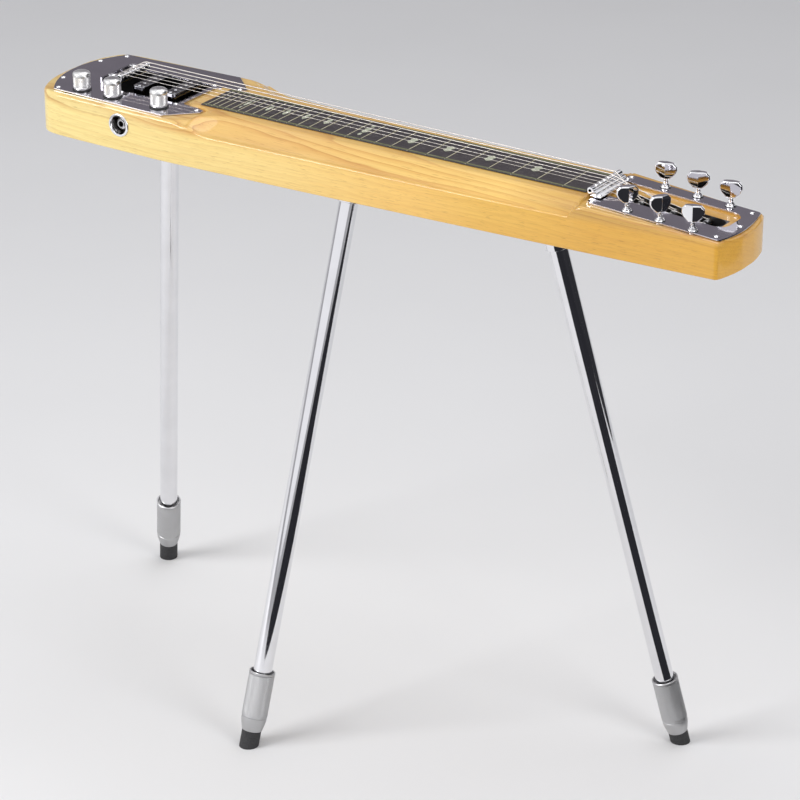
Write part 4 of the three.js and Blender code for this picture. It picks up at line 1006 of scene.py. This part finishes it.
bpy.ops.mesh.bisect(plane_co=(0, 0, 0), plane_no=(1, 0, 0))
bpy.ops.object.mode_set(mode="OBJECT")
# Each face rises to a ridge along its middle, so that its two halves mirror different things.
FACE_CROWN, RIM_CROWN, RIDGE_FALL = 4.25, 3.45, 2.5
for vertex in grip.data.vertices:
    crown = FACE_CROWN if abs(vertex.co.y) > 0.00105 else RIM_CROWN
    fall = RIDGE_FALL * abs(vertex.co.x) * 1000 / BUTTON_HALF
    vertex.co.y = math.copysign(crown - fall, vertex.co.y) / 1000
work(grip, "BEVEL", width=0.0003, segments=2, limit_method="ANGLE", angle_limit=math.radians(15))
smooth_over(grip, 20)
work(grip, "WEIGHTED_NORMAL", keep_sharp=True)
profile = [(0, 11.5), (3.6, 11.4), (3.3, 10.3), (2.0, 9.2), (1.75, 8.0), (1.9, 6.9), (2.6, 6.2), (2.6, 5.4)]
profile += [(1.9, 4.9), (1.9, 4.2), (2.5, 3.6), (2.3, 3.4), (2.3, 0), (0, 0)]
stem = lathe("stem", profile, 40)
profile = [(2.6, 3.2), (3.3, 3.2), (3.9, 2.7), (4.0, 2.1), (4.0, 1.5), (4.6, 1.2), (4.9, 0.7), (4.9, 0.02)]
profile += [(4.0, 0.02), (4.0, -2.2), (2.6, -2.2), (2.6, 3.2)]
bush = lathe("bush", profile, 48)
profile = [(4.9, 0.02), (5.5, 0.02), (5.6, 0.2), (5.5, 0.4), (4.9, 0.4), (4.9, 0.02)]
collar_ring = lathe("collar_ring", profile, 48)
HEAD_RISE, SHAFT_CUT, CAGE_CUT = Vector((0, 0, 0.0092)), Vector((0, 0, 0.001)), Vector((0, 0, -0.0023))
# Each row has its side and how far its three buttons were left turned.
for row, side, turns in (("front", -1, (48, 55, 20)), ("back", 1, (12, 20, 14))):
    for i, x in enumerate(TUNERS):
        label = "%s_%d" % (row, i + 1)
        place = spot(x, side * TUNER_HALF, head_top(x))
        head = copy_of(grip, "head", place + HEAD_RISE, turned("Z", turns[i]))
        neck = copy_of(stem, "neck", place)
        shaft = dress("tuner_button_" + label, "shaft", 0)
        keep_below(shaft, place + SHAFT_CUT, (0, 0, 1))
        smooth_over(shaft, 50)
        button = joined("tuner_head_" + label, [head, neck, shaft])
        settle(button, "button_" + label, "chrome", chrome, "tuner_button_" + label)
        cage = dress("tuner_housing_" + label, "cage", 0)
        keep_below(cage, place + CAGE_CUT, (0, 0, 1))
        smooth_over(cage, 40)
        guide = copy_of(bush, "guide", place, tilt)
        machine = joined("tuner_machine_" + label, [guide, cage])
        settle(machine, "guitar", "chrome", chrome, "tuner_housing_" + label)
        settle(copy_of(collar_ring, "bush_ring_" + label, place, tilt), "guitar", "rubber", washer_black_and_shade)
        roller = "roller_" + label
        clad("string_" + roller, roller, roller, "steel", steel, 0.15, 1, 50, 48)
for spare in (grip, stem, bush, collar_ring, screw):
    bpy.data.objects.remove(spare)


# Strings: six wires from the bridge to the tuners' rollers, the three low ones wound with nickel tape,
# the three high ones plain steel.
def string_finish(name, turn_scale, turn_strength):
    """Steel wire with bands across it, fine and deep where tape is wound on it, each band painted darker
    where it sinks in, painted shade in its groove.
    """
    material, tree, shader = new_finish(name, (0.7, 0.66, 0.62), 1, 0.42)
    sockets = {"Vector": own_place(tree), "Scale": turn_scale, "Distortion": 0.4}
    turns = first(tree, "TexWave", sockets, wave_type="BANDS", bands_direction="X")
    # The bands are painted darker where the bump sinks in: painted shade in the grooves.
    tint = ramp(tree, turns, (0.0, (0.52, 0.48, 0.44)), (0.6, (0.74, 0.7, 0.66)))
    tree.links.new(tint, shader.inputs["Base Color"])
    dent(tree, shader, turns, turn_strength, 0.0001)
    return material


wound = string_finish("wound_string", 400, 0.2)
plain = string_finish("plain_string", 40, 0.05)
for number in "123456":
    wire = wound if number in "456" else plain
    clad("string_" + number, "wire_" + number, "guitar", "string_metal", wire, 0, 1, 80, 80)


# Legs: chromed tubes that screw into flanges under the body. Each has a knurled aluminium collar with a
# turned nose, which locks a sliding inner tube, and a rubber foot that stands level on the floor.
LEG_HEIGHT = 598.8
LEGS = {"a": (45, -0.2135, 0.2364), "b": (278.5, -0.0487, -0.2704), "c": (512, 0.1927, 0.1597)}
NOSE_END = LEG_HEIGHT + 4.6
GRIP_END = NOSE_END - 14
GRIP_START = GRIP_END - 52
rubber, rubber_tree, rubber_shader = new_finish("black_rubber", (0.018, 0.018, 0.019), 0, 0.7)
scuffs = noise(rubber_tree, own_place(rubber_tree), 700, 4)
rubber_tint = ramp(rubber_tree, scuffs, (0.3, (0.014, 0.014, 0.015)), (0.7, (0.04, 0.04, 0.042)))
rubber_tree.links.new(rubber_tint, rubber_shader.inputs["Base Color"])
dent(rubber_tree, rubber_shader, scuffs, 0.5, 0.0002)
COLLAR_SIDES, COLLAR_RADIUS, COLLAR_PITCH = 96, 13.75, 0.95
matt = metal("matt_aluminium", (0.52, 0.52, 0.525), 0.38, 0.5, 900, 0.00003)
profile = [(8.5, -9), (9.7, -9), (10, -9.3), (10, -573.7), (9.7, -574), (8.5, -574), (8.5, -9)]
tube = lathe("tube", profile, 64)
grip_rows = [-(GRIP_START + 3.4 + COLLAR_PITCH * i) for i in range(47)]
nose_lip = ((12.6, -6.5), (13.4, -2), (13.4, 1.2), (13.0, 1.5), (13.0, 2.2), (COLLAR_RADIUS, 2.6))
top_lip = ((COLLAR_RADIUS, -2.9), (13.1, -2.6), (13.1, -2.1), (13.9, -1.8), (13.9, -0.5), (13.4, 0))
top_lip += ((12.4, 0), (12.2, -0.3), (12.2, -5), (10.3, -5))
profile = [(8.55, -NOSE_END), (10.5, -NOSE_END), (10.8, -NOSE_END + 0.3)]
profile += [(radius, z - GRIP_END) for radius, z in nose_lip]
profile += [(COLLAR_RADIUS, z) for z in reversed(grip_rows)]
profile += [(radius, z - GRIP_START) for radius, z in top_lip]
profile += [(10.3, -574.3), (8.55, -574.3), (8.55, -NOSE_END)]
sleeve = lathe("sleeve", profile, COLLAR_SIDES, 30)
knurl(sleeve, grip_rows[-1], COLLAR_PITCH, COLLAR_SIDES, COLLAR_RADIUS, 0.22)
smooth_over(sleeve, 20)
for name, (x, along, over) in LEGS.items():
    down = Vector((along, over, -1)).normalized()
    splay = Vector((0, 0, -1)).rotation_difference(down).to_matrix().to_4x4()
    for model, label, slot, material, body in (
        (tube, "tube", "chrome", chrome, "guitar"),
        (sleeve, "collar", "knurled_metal", matt, "collar_" + name),
    ):
        made = copy_of(model, "turned_%s_%s" % (label, name), spot(x, 0, BODY_BOTTOM), splay)
        settle(made, body, slot, material, "leg_%s_%s" % (label, name))
    clad("leg_flange_" + name, "socket_plate_" + name, "guitar", "chrome", chrome, 0.6, 2, 35, 35)
    clad("leg_rod_" + name, "slider_" + name, "rod_" + name, "steel", steel, 0.2, 1, 60, 40)
    clad("leg_foot_" + name, "boot_" + name, "rod_" + name, "rubber", rubber, 0.8, 3, 40, 40)
bpy.data.objects.remove(tube)
bpy.data.objects.remove(sleeve)
